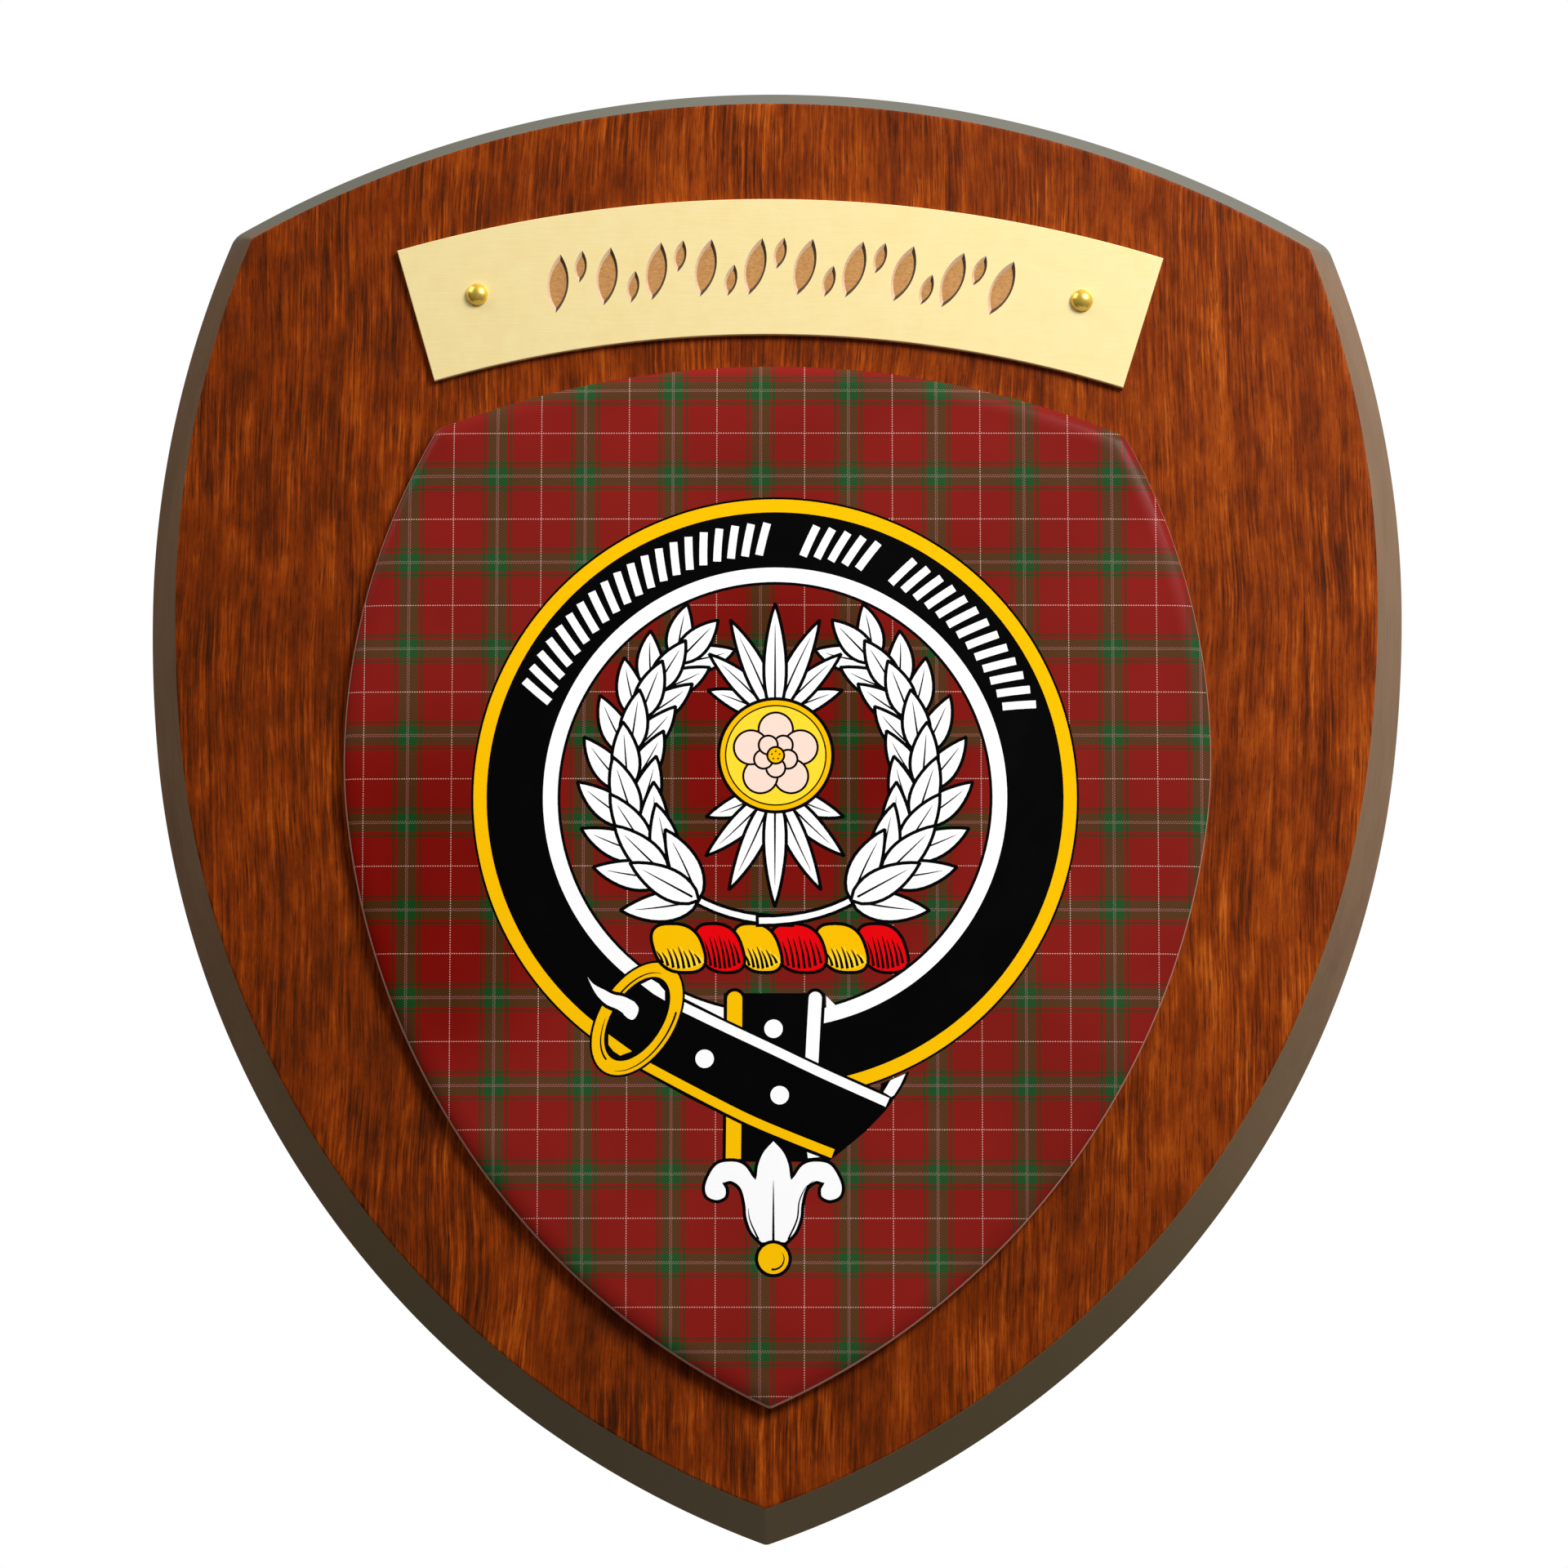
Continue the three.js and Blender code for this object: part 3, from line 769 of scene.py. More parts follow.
def engraved_marks(run=0.0):
    """Broad strokes that all lean one way, with a short one between each and the next, high and low
    by turns. The run is how far in from the rim of a mark its outline lies."""
    reach = pin_angle - MARK_TO_PIN / plate_middle
    length = PLATE_HEIGHT - 2 * MARK_MARGIN
    lean = math.radians(MARK_LEAN)
    marks = []

    def engrave(place, tilt, length, width):
        """Adds one stroke, made narrower by the run on both sides and shorter in proportion."""
        less = 1 - 2 * run / width
        marks.append(pen_stroke(place, tilt, length * less, width * less))

    for number in range(MARK_COUNT):
        angle = reach * (2 * number / (MARK_COUNT - 1) - 1)
        side = 1 if number % 2 == 0 else -1
        engrave(on_plate(angle, plate_middle), -angle - lean, length, MARK_WIDTH)
        if number < MARK_COUNT - 1:
            accent = angle + ACCENT_OFFSET / plate_middle
            radius = plate_middle + side * length * (1 - ACCENT_SHARE) / 2
            engrave(on_plate(accent, radius), -accent - lean, length * ACCENT_SHARE, ACCENT_WIDTH)
    return marks


marks, floors = engraved_marks(), engraved_marks(WALL_RUN)
print("engraved marks:", len(marks))

# %% Nameplate mesh
EDGE_RUN = 1.0  # how far in from the outline the grid round the edge ends
EDGE_BREAK = 0.12
PIN_HOLE = 1.7
# The engraved walls take a painted shade on one side and a painted highlight on the other.
BRASS, FLOOR, PAINTED_SHADE_WALL, PAINTED_HIGHLIGHT_WALL = range(4)
PAINTED_SHADE_SIDE = (0.8, -0.6)


def joined_mesh(name, parts):
    """One mesh from several lists of points and faces."""
    points, faces, offset = [], [], 0
    for part_points, part_faces in parts:
        points.append(part_points)
        faces += [[corner + offset for corner in face] for face in part_faces]
        offset += len(part_points)
    mesh = bpy.data.meshes.new(name)
    mesh.from_pydata((np.concatenate(points) * MM).tolist(), [], faces)
    return mesh


def merge_points(mesh, closer_than=1e-7):
    """Makes one point of the points that lie on each other, where the parts of a mesh meet."""
    work = bmesh.new()
    work.from_mesh(mesh)
    bmesh.ops.remove_doubles(work, verts=work.verts, dist=closer_than)
    work.to_mesh(mesh)
    open_edges = sum(not edge.is_manifold for edge in work.edges)
    print(mesh.name, "has", open_edges, "open edges after merging")
    work.free()


def in_space(points, depth):
    """Flat points set up in space at a depth, or at a depth each."""
    space = np.empty((len(points), 3))
    space[:, [0, 2]] = points
    space[:, 1] = depth
    return space


def plate_mesh():
    """Edge, face, engraved walls and floors of the nameplate, as one closed mesh. Walls on the
    right and at the foot of a mark take a painted shade, and the others a painted highlight."""
    profile = rounded(
        corners=[(EDGE_RUN, FACE_Y), (0.0, FACE_Y), (0.0, PLATE_FRONT), (EDGE_RUN, PLATE_FRONT)],
        radii=[EDGE_BREAK / 2, EDGE_BREAK],
        support=0.1,
    )
    rings = upright_rings([plate_outline(inset) for inset in profile[:, 0]], profile[:, 1])
    pins = [on_plate(side * pin_angle, plate_middle + PIN_RAISE) for side in (-1, 1)]
    holes = [disc(pin, PIN_HOLE / 2, 32) for pin in pins]
    face_points, triangles, on_top = regions([rings[-1][:, [0, 2]]] + holes + marks)
    flat = in_space(face_points, PLATE_FRONT)
    back_points, back_triangles, back_top = regions([rings[0][:, [0, 2]]] + holes)
    parts = [
        (rings.reshape(-1, 3), grid_faces(len(rings), rings.shape[1]).tolist()),
        (flat, triangles[on_top == 0].tolist()),
        (in_space(back_points, FACE_Y), back_triangles[back_top == 0][:, ::-1].tolist()),
    ]
    for hole in holes:
        wall = upright_rings([hole, hole], [PLATE_FRONT, FACE_Y])
        parts.append((wall.reshape(-1, 3), grid_faces(2, len(hole)).tolist()))
    finish = [np.full(len(faces), BRASS) for _, faces in parts]
    for mark, floor in zip(marks, floors):
        wall = upright_rings([mark, floor], [PLATE_FRONT, PLATE_FRONT + MARK_DEPTH])
        parts.append((wall.reshape(-1, 3), grid_faces(2, len(mark)).tolist()))
        along = np.roll(wall[0], -1, 0) - wall[0]
        # Painted shade on the walls at the right and the foot of each mark, a painted highlight on the
        # rest.
        shaded = along[:, 2] * PAINTED_SHADE_SIDE[0] - along[:, 0] * PAINTED_SHADE_SIDE[1] > 0
        finish.append(np.where(shaded, PAINTED_SHADE_WALL, PAINTED_HIGHLIGHT_WALL))
        floor_points, floor_triangles, _ = regions([floor])
        parts.append((in_space(floor_points, PLATE_FRONT + MARK_DEPTH), floor_triangles.tolist()))
        finish.append(np.full(len(floor_triangles), FLOOR))
    mesh = joined_mesh("brass_nameplate", parts)
    mesh.polygons.foreach_set("material_index", np.concatenate(finish).astype(np.int32))
    merge_points(mesh)
    return mesh


nameplate = link_piece("brass_nameplate", plate_mesh())
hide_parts("nameplate")
print("nameplate:", len(nameplate.data.polygons), "faces")

# %% [markdown]
# ## Brass finishes
# The nameplate is pale satin brass, brushed lengthwise and a little mottled by its lacquer. The
# engraving shows the darker, redder metal under the surface, so the sunk floors have a material of
# their own. Its walls are painted dark on one side as painted shade, and painted pale on the other
# as a painted highlight.

# %% Brass materials
plate_finish, tree, shader, place = new_material("satin_brass")
brushed = noise(tree, place, (5.0, 5.0, 0.12), detail=2.0, seed=6.0)
mottle = noise(tree, place, (3.0, 3.0, 3.0), detail=4.0, seed=9.0)
blotch = calc(tree, "MULTIPLY_ADD", brushed, 0.4, calc(tree, "MULTIPLY", mottle, 0.6))
feed(
    tree,
    shader,
    base_color=ramp(tree, blotch, [(0.3, srgb(236, 213, 147)), (0.7, srgb(247, 228, 166))]),
    roughness=spread(tree, blotch, (0.3, 0.7), (0.46, 0.36)),
    normal=bumps(tree, brushed, 0.1, 0.01),
    metallic=0.25,
)


def flecked(name, sizes, seed, darkest, lightest, detail=2.0, **values):
    """A finish whose colour runs between two screen colours in flecks of the given sizes."""
    material, tree, shader, place = new_material(name)
    fleck = noise(tree, place, sizes, detail=detail, seed=seed)
    colour = ramp(tree, fleck, [(0.3, srgb(*darkest)), (0.7, srgb(*lightest))])
    feed(tree, shader, base_color=colour, **values)
    return material


copper_finish = flecked(
    "engraved_copper", (0.5, 0.5, 0.2), 7.0, (172, 116, 54), (197, 145, 82), metallic=0.2, roughness=0.5
)
# Painted shade and painted highlight for the two sides of the engraved walls.
painted_shade_finish = flecked("painted_shade_walls", (0.3, 0.3, 0.3), 14.0, (52, 40, 20), (78, 58, 30), roughness=0.6)
painted_highlight_finish = flecked(
    "painted_highlight_walls", (0.3, 0.3, 0.3), 15.0, (206, 166, 132), (226, 192, 160), roughness=0.4
)
for finish in (plate_finish, copper_finish, painted_shade_finish, painted_highlight_finish):
    nameplate.data.materials.append(finish)
print("nameplate finishes:", ", ".join(finish.name for finish in nameplate.data.materials))

# %% [markdown]
# ## The pins
# Two escutcheon pins hold the nameplate. Each is turned metal: a low domed head over a straight
# shank with a point. A profile of radius against depth is carried round its own axis, from the
# middle of the head to the tip of the point, where it all but meets the axis. The heads are
# polished, and a stronger yellow than the nameplate.

# %% Pins
PIN_AROUND = 48
PIN_SHANK = 1.4
PIN_POINT = 1.6
HEAD_EDGE = 0.18
HEAD_FOOT_SHARE = 0.98  # the head is a little narrower where it meets the plate
HEAD_PEAK, POINT_TIP = 0.02, 0.05  # radius of the tiny flats that close both ends


def pin_mesh(name, node):
    """A turned pin in its node's box. The head is a quarter ellipse over a short upright edge."""
    low, high = node_box(node)
    across, along = (low[0] + high[0]) / 2, (low[2] + high[2]) / 2
    head = (high[0] - low[0]) / 2
    quarter = np.linspace(math.pi / 2, 0, 14)
    dome = PLATE_FRONT - low[1] - HEAD_EDGE
    dome_radius, dome_depth = head * np.cos(quarter), PLATE_FRONT - HEAD_EDGE - dome * np.sin(quarter)
    shank = PIN_SHANK / 2
    radius = np.array([HEAD_PEAK, *dome_radius[1:], head * HEAD_FOOT_SHARE, shank, shank, POINT_TIP])
    depth = np.array([*dome_depth, PLATE_FRONT, PLATE_FRONT, high[1] - PIN_POINT, high[1]])
    round_angle = np.linspace(0, 2 * math.pi, PIN_AROUND, endpoint=False)
    rings = np.empty((len(radius), PIN_AROUND, 3))
    rings[..., 0] = across + radius[:, None] * np.cos(round_angle)
    rings[..., 1] = depth[:, None]
    rings[..., 2] = along + radius[:, None] * np.sin(round_angle)
    return capped_grid(name, rings[::-1])


pin_finish = flecked(
    "polished_brass",
    sizes=(0.8, 0.8, 0.8),
    seed=10.0,
    darkest=(228, 184, 66),
    lightest=(248, 214, 104),
    detail=3.0,
    metallic=0.65,
    roughness=0.27,
)
for side in ("left", "right"):
    pin = link_piece(f"brass_pin_{side}", pin_mesh(f"brass_pin_{side}", f"pin_{side}"))
    pin.data.materials.append(pin_finish)
    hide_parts(f"pin_{side}")
    print(pin.name, "has", len(pin.data.polygons), "faces")

# %% [markdown]
# ## The panel's outline and height
# The tartan shield is a cast panel with a soft rolled edge and a very slight crown. Its height can
# be written as a function of where a point lies: a short upright edge, a quarter ellipse that rises
# over the first three millimetres, and a crown that is highest in the middle. Having the height as
# a formula means that the surface may be divided in any way, and its shading normals come from the
# same formula, so they stay perfectly smooth across the lines of the print.

# %% Panel form
PANEL_OFFSET = 0.4
PANEL_TIP = -83.5
PANEL_WIDEST_DROP = 54.7
PANEL_EDGE = 1.5
ROLL_WIDTH = 3.0
ROLL_RISE = 1.2
CROWN_RISE = 0.7
CROWN_REACH = (62.0, 75.0)
CROWN_MIDDLE = -11.9
CROWN_FADE = 10.0
ON_RIM = 1e-4  # nearer than this to the rim, a point lies on it
LEAST_RISE = 0.02  # keeps the slope of the roll finite at the rim
BLOCK = 1500  # points that are measured against the rim at a time

panel_shield = {
    "half": (panel_high[0] - panel_low[0]) / 2,
    "top": panel_high[2],
    "tip": PANEL_TIP,
    "widest": panel_high[2] - PANEL_WIDEST_DROP,
    "top_radius": 125.5,
    "upper_radius": 92.0,
    "lower_radius": 68.0,
    "lower_turn": 6.6,
    "corner": 3.0,
    "tip_radius": 1.2,
}


def panel_ring(inset):
    """The panel's outline at an inset, moved sideways to where the panel sits."""
    return counter_clockwise(shield_outline(panel_shield, inset) + [PANEL_OFFSET, 0.0])


def from_edge(points, ring):
    """Distance in from the nearest segment of a ring, and the smooth inward direction there: the
    directions at the segment's two ends, mixed by how far along it the nearest place is."""
    along = np.roll(ring, -1, 0) - ring
    length = (along**2).sum(1)
    inward = left_of(along) / np.sqrt(length)[:, None]
    at_start = unit(inward + np.roll(inward, 1, 0))
    away = points[:, None] - ring[None]
    share = np.clip((away * along).sum(2) / length, 0, 1)
    away = away - share[..., None] * along
    nearest = (away**2).sum(2).argmin(1)
    rows = np.arange(len(points))
    chosen = share[rows, nearest][:, None]
    direction = at_start[nearest] * (1 - chosen) + np.roll(at_start, -1, 0)[nearest] * chosen
    direction = unit(direction)
    away = away[rows, nearest]
    return np.linalg.norm(away, axis=1) * np.sign((away * direction).sum(1)), direction


def from_rim(points):
    """Distance in from the panel's own rim, and the direction inwards, a block at a time."""
    blocks = np.array_split(points, max(1, len(points) // BLOCK))
    return map(np.concatenate, zip(*(from_edge(block, panel_ring(0.0)) for block in blocks)))


def panel_surface(points):
    """Depth and normal of the panel's face at flat points. The slope of the roll is the slope of
    its ellipse along the inward direction, and the crown adds the slopes of its two parabolas."""
    inside, inward = from_rim(points)
    left = 1 - np.clip((inside - ON_RIM) / ROLL_WIDTH, 0, 1)
    rise = np.sqrt(1 - left**2)
    slope = ROLL_RISE / ROLL_WIDTH * left / np.maximum(rise, LEAST_RISE)
    part = np.clip(inside / CROWN_FADE, 0, 1)
    fade = part**2 * (3 - 2 * part)
    x = (points[:, 0] - PANEL_OFFSET) / CROWN_REACH[0]
    z = (points[:, 1] - CROWN_MIDDLE) / CROWN_REACH[1]
    crown = CROWN_RISE * (1 - x**2) * (1 - z**2)
    height = PANEL_EDGE + ROLL_RISE * rise + crown * fade
    slope += crown * 6 * part * (1 - part) / CROWN_FADE
    climb = slope[:, None] * inward
    climb[:, 0] += fade * CROWN_RISE * -2 * x / CROWN_REACH[0] * (1 - z**2)
    climb[:, 1] += fade * CROWN_RISE * -2 * z / CROWN_REACH[1] * (1 - x**2)
    return FACE_Y - height, unit(in_space(-climb, -1.0))


depth, _ = panel_surface(np.array([[0.0, CROWN_MIDDLE], [panel_low[0] + ROLL_WIDTH, 5.0]]))
print("panel depth in the middle and where the roll ends on the left:", np.round(depth, 2))

# %% [markdown]
# ## Tools for drawing the emblem
# The emblem is printed in flat inks with even black outlines. It is drawn here in millimetres
# about its own middle, from a few kinds of closed outline: discs, ribbons along a path, leaves, and
# smooth curves through points. Each is painted over what is already there.

# %% Drawing helpers
INK = {
    "tartan": (0.0, 0.0, 0.0, 0.0),
    # The rim ink is a painted highlight along the panel's rolled edge.
    "rim": srgb(176, 128, 112),
    "black": srgb(3, 3, 4),
    "white": srgb(250, 250, 250),
    "gold": srgb(246, 188, 0),
    "lemon": srgb(250, 216, 50),
    "red": srgb(226, 4, 12),
    "blush": srgb(250, 218, 202),
}
LINE = 0.46
RIB = 0.32
SHARPEST_TURN = 0.6  # the smallest cosine of half a turn that an outline is grown by
drawing = []


def paint(ink, *outlines):
    """Adds closed outlines to the drawing in one ink."""
    drawing.extend((ink, counter_clockwise(np.asarray(outline, dtype=float))) for outline in outlines)


def grown(outline, width):
    """An outline moved outwards: each point goes along the mean of its two edges' normals, by the
    width over the cosine of half the turn there, which keeps both edges parallel to the old."""
    outline = counter_clockwise(np.asarray(outline, dtype=float))
    ahead = unit(np.roll(outline, -1, 0) - outline)
    mean = (ahead + np.roll(ahead, 1, 0)) / 2
    size = np.linalg.norm(mean, axis=1)[:, None]
    outward = -left_of(mean) / np.maximum(size, 1e-9)
    return outline + width * outward / np.maximum(size, SHARPEST_TURN)


def outlined(ink, outline, line=LINE):
    """Paints a shape in black, and again in its ink, smaller by the width of the line."""
    paint("black", grown(outline, line / 2))
    paint(ink, grown(outline, -line / 2))


def ribbon(path, width):
    """Both sides of a path at half the width, which may be one number or a number a point. The way
    ahead at a point is the difference of the points on both sides of it."""
    path = np.asarray(path, dtype=float)
    half_width = np.broadcast_to(width, len(path))[:, None] / 2
    sideways = half_width * left_of(unit(np.gradient(path, axis=0)))
    return np.concatenate([path + sideways, (path - sideways)[::-1]])


def tapered(path, width):
    """A ribbon that is all but pointed at its far end: the width falls as the root of what is left
    of the path."""
    left = np.linspace(1, 0.02, len(path))
    return ribbon(path, width * np.sqrt(left))


def curve(points, steps=8):
    """A smooth path through points. Between two points it is the cubic whose slope at each is half
    the step from the point before to the point after."""
    points = np.asarray(points, dtype=float)
    slope = np.gradient(points, axis=0)
    slope[0], slope[-1] = points[1] - points[0], points[-1] - points[-2]
    t = np.linspace(0, 1, steps, endpoint=False)[None, :, None]
    start, end = points[:-1, None], points[1:, None]
    leave, arrive = slope[:-1, None], slope[1:, None]
    path = start * (1 - t) ** 2 * (1 + 2 * t) + end * t**2 * (3 - 2 * t)
    path = path + leave * t * (1 - t) ** 2 - arrive * t**2 * (1 - t)
    return np.concatenate([path.reshape(-1, 2), points[-1:]])


def bezier(start, leave, arrive, end, count):
    """A cubic Bezier path: its four points weighted by the powers of t and 1 - t."""
    t = np.linspace(0, 1, count)[:, None]
    path = np.asarray(start) * (1 - t) ** 3 + np.asarray(leave) * 3 * t * (1 - t) ** 2
    return path + np.asarray(arrive) * 3 * t**2 * (1 - t) + np.asarray(end) * t**3


def leaf_axis(base, angle, length, bend, count=12):
    """A leaf's middle line: straight from its base, and bent sideways by a parabola."""
    t = np.linspace(0, 1, count)
    path = np.stack([bend * t**2, length * t], axis=1)
    return turned(path, -angle) + base


def leaf(axis, width):
    """A leaf about its middle line: half the width times the sine of pi t to the power 0.8."""
    t = np.linspace(0, 1, len(axis)) ** 0.8
    return ribbon(axis, width * np.maximum(np.sin(math.pi * t), 0.01) ** 0.8)


def white_leaf(base, angle, length, width, bend=0.0):
    """A leaf with its outline and a fine rib. The angle is clockwise from upright."""
    axis = leaf_axis(base, angle, length, bend)
    outlined("white", leaf(axis, width))
    paint("black", tapered(axis[1:10], RIB))


def mirrored(points):
    """The same points on the other side of the upright axis: x with its sign changed."""
    return np.asarray(points) * [-1.0, 1.0]


print("inks:", ", ".join(INK))

# %% [markdown]
# ## The belt
# A strap in the shape of a circle frames the emblem, black with a gold edge outside and a white one
# inside. Along its upper half stand short white bars in three groups, all slanted the same way.

# %% Belt
BELT_RADII = (
    ("black", 41.5), ("gold", 41.2), ("black", 39.4), ("white", 31.7), ("black", 29.7), ("tartan", 29.3)
)
BAR_INNER, BAR_OUTER = 33.5, 37.9
BAR_GROUPS = ((-66.0, 20), (7.6, 5), (29.3, 13))
STROKE = 1.08
STROKE_STEP = 3.33
STROKE_SLANT = 0.3

for ink, radius in BELT_RADII:
    paint(ink, disc((0.0, 0.0), radius, 180))


def belt_stroke(angle):
    """A slanted bar across the belt. Its angle, clockwise from upright, grows with the radius."""
    radius = np.linspace(BAR_INNER, BAR_OUTER, 5)
    turn = angle + STROKE_SLANT * (radius - radius.mean()) / radius.mean()
    return ribbon(radius[:, None] * np.stack([np.sin(turn), np.cos(turn)], axis=1), STROKE)


for first, bars in BAR_GROUPS:
    for number in range(bars):
        paint("white", belt_stroke(math.radians(first + number * STROKE_STEP)))
print("bars on the belt:", sum(bars for _, bars in BAR_GROUPS))

# %% [markdown]
# ## The buckle and the strap end
# Below, the strap passes through an oval buckle, crosses over itself and hangs down to a metal tip
# in the shape of a flower with a ball. The parts are painted in the order in which they lie.

# %% Hanging strap
PUNCHED_HOLE = 1.26
HANGING_BODY = [(-6.95, -26.9), (6.85, -26.9), (6.3, -37.0), (6.1, -49.8), (-7.05, -49.8)]
HANGING_EDGES = (
    ("gold", [(-5.45, -27.7), (-5.5, -38.0), (-5.6, -49.4)], 2.05),
    ("white", [(5.5, -27.6), (5.25, -32.0), (5.0, -36.9)], 1.8),
)

paint("black", HANGING_BODY)
for ink, edge, width in HANGING_EDGES:
    path = curve(edge)
    paint("black", disc(path[0], width / 2 + LINE), ribbon(path, width + 2 * LINE))
    paint(ink, disc(path[0], width / 2), ribbon(path, width))
paint("white", [(7.0, -27.3), (8.3, -28.6), (7.0, -29.0)])
paint("white", disc((-0.17, -31.74), PUNCHED_HOLE))
print("outlines down to the hanging strap:", len(drawing))

# %% Crossing strap
CROSSING_BODY = [
    (-19.5, -29.0), (-15.0, -26.2), (-12.3, -27.6), (-6.6, -30.5), (0.0, -33.6), (6.6, -36.75),
    (14.3, -40.15), (14.4, -39.2), (18.3, -37.5), (17.75, -38.9), (16.9, -40.3), (15.0, -42.9),
    (12.4, -45.6), (9.6, -47.95), (7.3, -49.75), (0.7, -47.0), (-4.8, -44.6), (-11.4, -41.3),
    (-18.1, -37.6), (-21.0, -35.5),
]
UPPER_EDGE = [(-15.6, -27.3), (-12.4, -28.8), (-6.6, -31.6), (0.0, -34.7), (6.6, -37.85), (15.3, -41.75)]
LOWER_EDGE = [(-19.6, -35.6), (-17.3, -36.9), (-10.9, -40.3), (-3.9, -43.85), (1.6, -46.2), (7.9, -48.7)]
CUT_END = [(14.75, -40.35), (15.7, -38.75), (17.75, -37.85), (17.1, -39.3), (16.2, -40.75), (15.8, -41.0)]

paint("black", CROSSING_BODY)
paint("white", ribbon(curve(UPPER_EDGE), 1.3))
paint("gold", ribbon(curve(LOWER_EDGE), 1.25))
paint("white", CUT_END)
paint("white", disc((-9.52, -35.83), PUNCHED_HOLE), disc((0.67, -40.77), PUNCHED_HOLE))
paint("white", [(4.4, -48.5), (6.1, -49.15), (4.5, -49.3)])
print("outlines down to the crossing strap:", len(drawing))

# %% Buckle
BUCKLE = (-18.7, -30.4)
BUCKLE_TILT = math.radians(31.8)
BUCKLE_OVALS = (("black", 8.74, 5.35), ("gold", 8.42, 5.03), ("black", 6.4, 3.5))
BUCKLE_LINES = ((7.9, 4.5, 1.1, 2.9), (7.0, 3.9, -1.5, -0.1), (7.0, 3.9, 3.3, 4.4))
BUCKLE_LINE, TONGUE_LINE = 0.28, 0.3
TONGUE_MARGIN = 0.15
SEEN_THROUGH_WHITE = [
    (-18.2, -25.7), (-16.8, -25.0), (-15.8, -25.6), (-14.95, -26.6), (-14.95, -27.9), (-16.5, -27.0)
]
SEEN_THROUGH_GOLD = [(-22.6, -32.5), (-19.4, -34.8), (-21.0, -35.4), (-21.9, -34.8), (-22.6, -33.9)]
TONGUE_SIDES = (
    [(-25.9, -23.9), (-24.7, -25.5), (-23.1, -26.4), (-21.9, -27.0), (-20.5, -27.3), (-19.05, -28.0)],
    [(-19.05, -28.0), (-18.45, -28.9), (-18.7, -30.0), (-19.3, -30.6), (-20.0, -30.4)],
    [(-20.0, -30.4), (-21.3, -29.3), (-23.1, -28.4), (-24.6, -26.7), (-25.9, -23.9)],
)


def buckle_oval(half_length, half_width, start=0.0, end=2 * math.pi, count=73):
    """An ellipse about the buckle's middle, with its long axis tilted clockwise from upright."""
    angle = np.linspace(start, end, count)
    oval = np.stack([half_width * np.sin(angle), half_length * np.cos(angle)], axis=1)
    return turned(oval, -BUCKLE_TILT) + BUCKLE


for ink, half_length, half_width in BUCKLE_OVALS:
    paint(ink, buckle_oval(half_length, half_width)[:-1])
paint("white", SEEN_THROUGH_WHITE)
paint("gold", SEEN_THROUGH_GOLD)
for half_length, half_width, start, end in BUCKLE_LINES:
    paint("black", tapered(buckle_oval(half_length, half_width, start, end, 24), BUCKLE_LINE))

upper, end, lower = (curve(side) for side in TONGUE_SIDES)
outlined("white", grown(np.concatenate([upper[:-1], end[:-1], lower[:-1]]), TONGUE_MARGIN))
paint("black", tapered(lower[4:28], TONGUE_LINE))
print("outlines down to the buckle:", len(drawing))

# %% Strap tip
TIP_MIDDLE = -0.17
PETAL_SIDE = [(0.0, -46.67), (1.5, -48.35), (2.25, -50.1), (2.5, -51.9)]
CURL = [
    (2.5, -51.9), (3.84, -50.1), (5.68, -49.55), (7.9, -50.1), (9.37, -52.65), (9.19, -54.5), (7.7, -55.2),
    (6.42, -54.65), (6.24, -53.55), (6.6, -52.8),
]
THROAT = [
    (6.6, -52.8), (5.68, -52.65), (4.58, -53.55), (4.02, -55.6), (3.84, -57.4), (3.1, -59.4), (1.7, -60.9)
]
INNER_LINE = [(2.0, -60.3), (3.2, -57.6), (3.5, -55.2), (4.3, -53.4), (5.5, -52.3)]
BALL, BALL_RADIUS = (TIP_MIDDLE, -62.9), 2.28
CRESCENT_RADIUS = 1.45
MIDDLE_WIDTH, INNER_WIDTH, CRESCENT_WIDTH = 0.34, 0.26, 0.3

half_tip = np.concatenate([curve(PETAL_SIDE)[:-1], curve(CURL)[:-1], curve(THROAT)])
tip_shape = np.concatenate([half_tip, mirrored(half_tip)[:0:-1]]) + [TIP_MIDDLE, 0.0]
outlined("white", tip_shape)
paint("black", tapered(curve([(TIP_MIDDLE, -60.6), (TIP_MIDDLE, -52.3)]), MIDDLE_WIDTH))
inner_line = curve(INNER_LINE)
for line in (inner_line, mirrored(inner_line[:14])):
    paint("black", tapered(line + [TIP_MIDDLE, 0.0], INNER_WIDTH))
outlined("gold", disc(BALL, BALL_RADIUS))
crescent = arc(BALL, CRESCENT_RADIUS, math.radians(-100), math.radians(35), 20)
paint("black", tapered(crescent, CRESCENT_WIDTH))
print("outlines down to the strap's tip:", len(drawing))

# %% [markdown]
# ## The wreath and the charges
# A twisted wreath of gold and red lies under the charges. Above it stand two laurel branches with
# large white leaves, a gold disc with a rose between them, and a fan of leaves over and under the
# disc. They are common heraldic devices. A branch is a curved stem with three leaves at each
# station, painted from its top down so that each leaf lies over the foot of the next.

# %% Twisted wreath
WREATH_EDGES = (-16.1, -10.15, -4.87, 0.22, 6.3, 11.95, 17.4)
WREATH_TOP, WREATH_FOOT = -17.4, -24.1
WREATH_SLANT = 0.3
WREATH_FULLNESS = 0.75
LOBE_OVERLAP = 0.9
HATCH_LINES = 8
HATCH_START, HATCH_SPARE = 0.7, 0.2  # room before the first line and after the last, in steps
HATCH_TOP, HATCH_FOOT = -20.4, -23.55
HATCH_STAGGER, HATCH_FALL, HATCH_CURVE = 0.35, 0.22, 0.06
HATCH_BEND = (0.35, 0.05, -0.5)  # how far aside a line stands at its foot, middle and top
HATCH_WIDTH, HATCH_GAP = 0.42, 0.38
RED_HATCH_RISE = 1.5  # how much longer the lines of the red lobes are


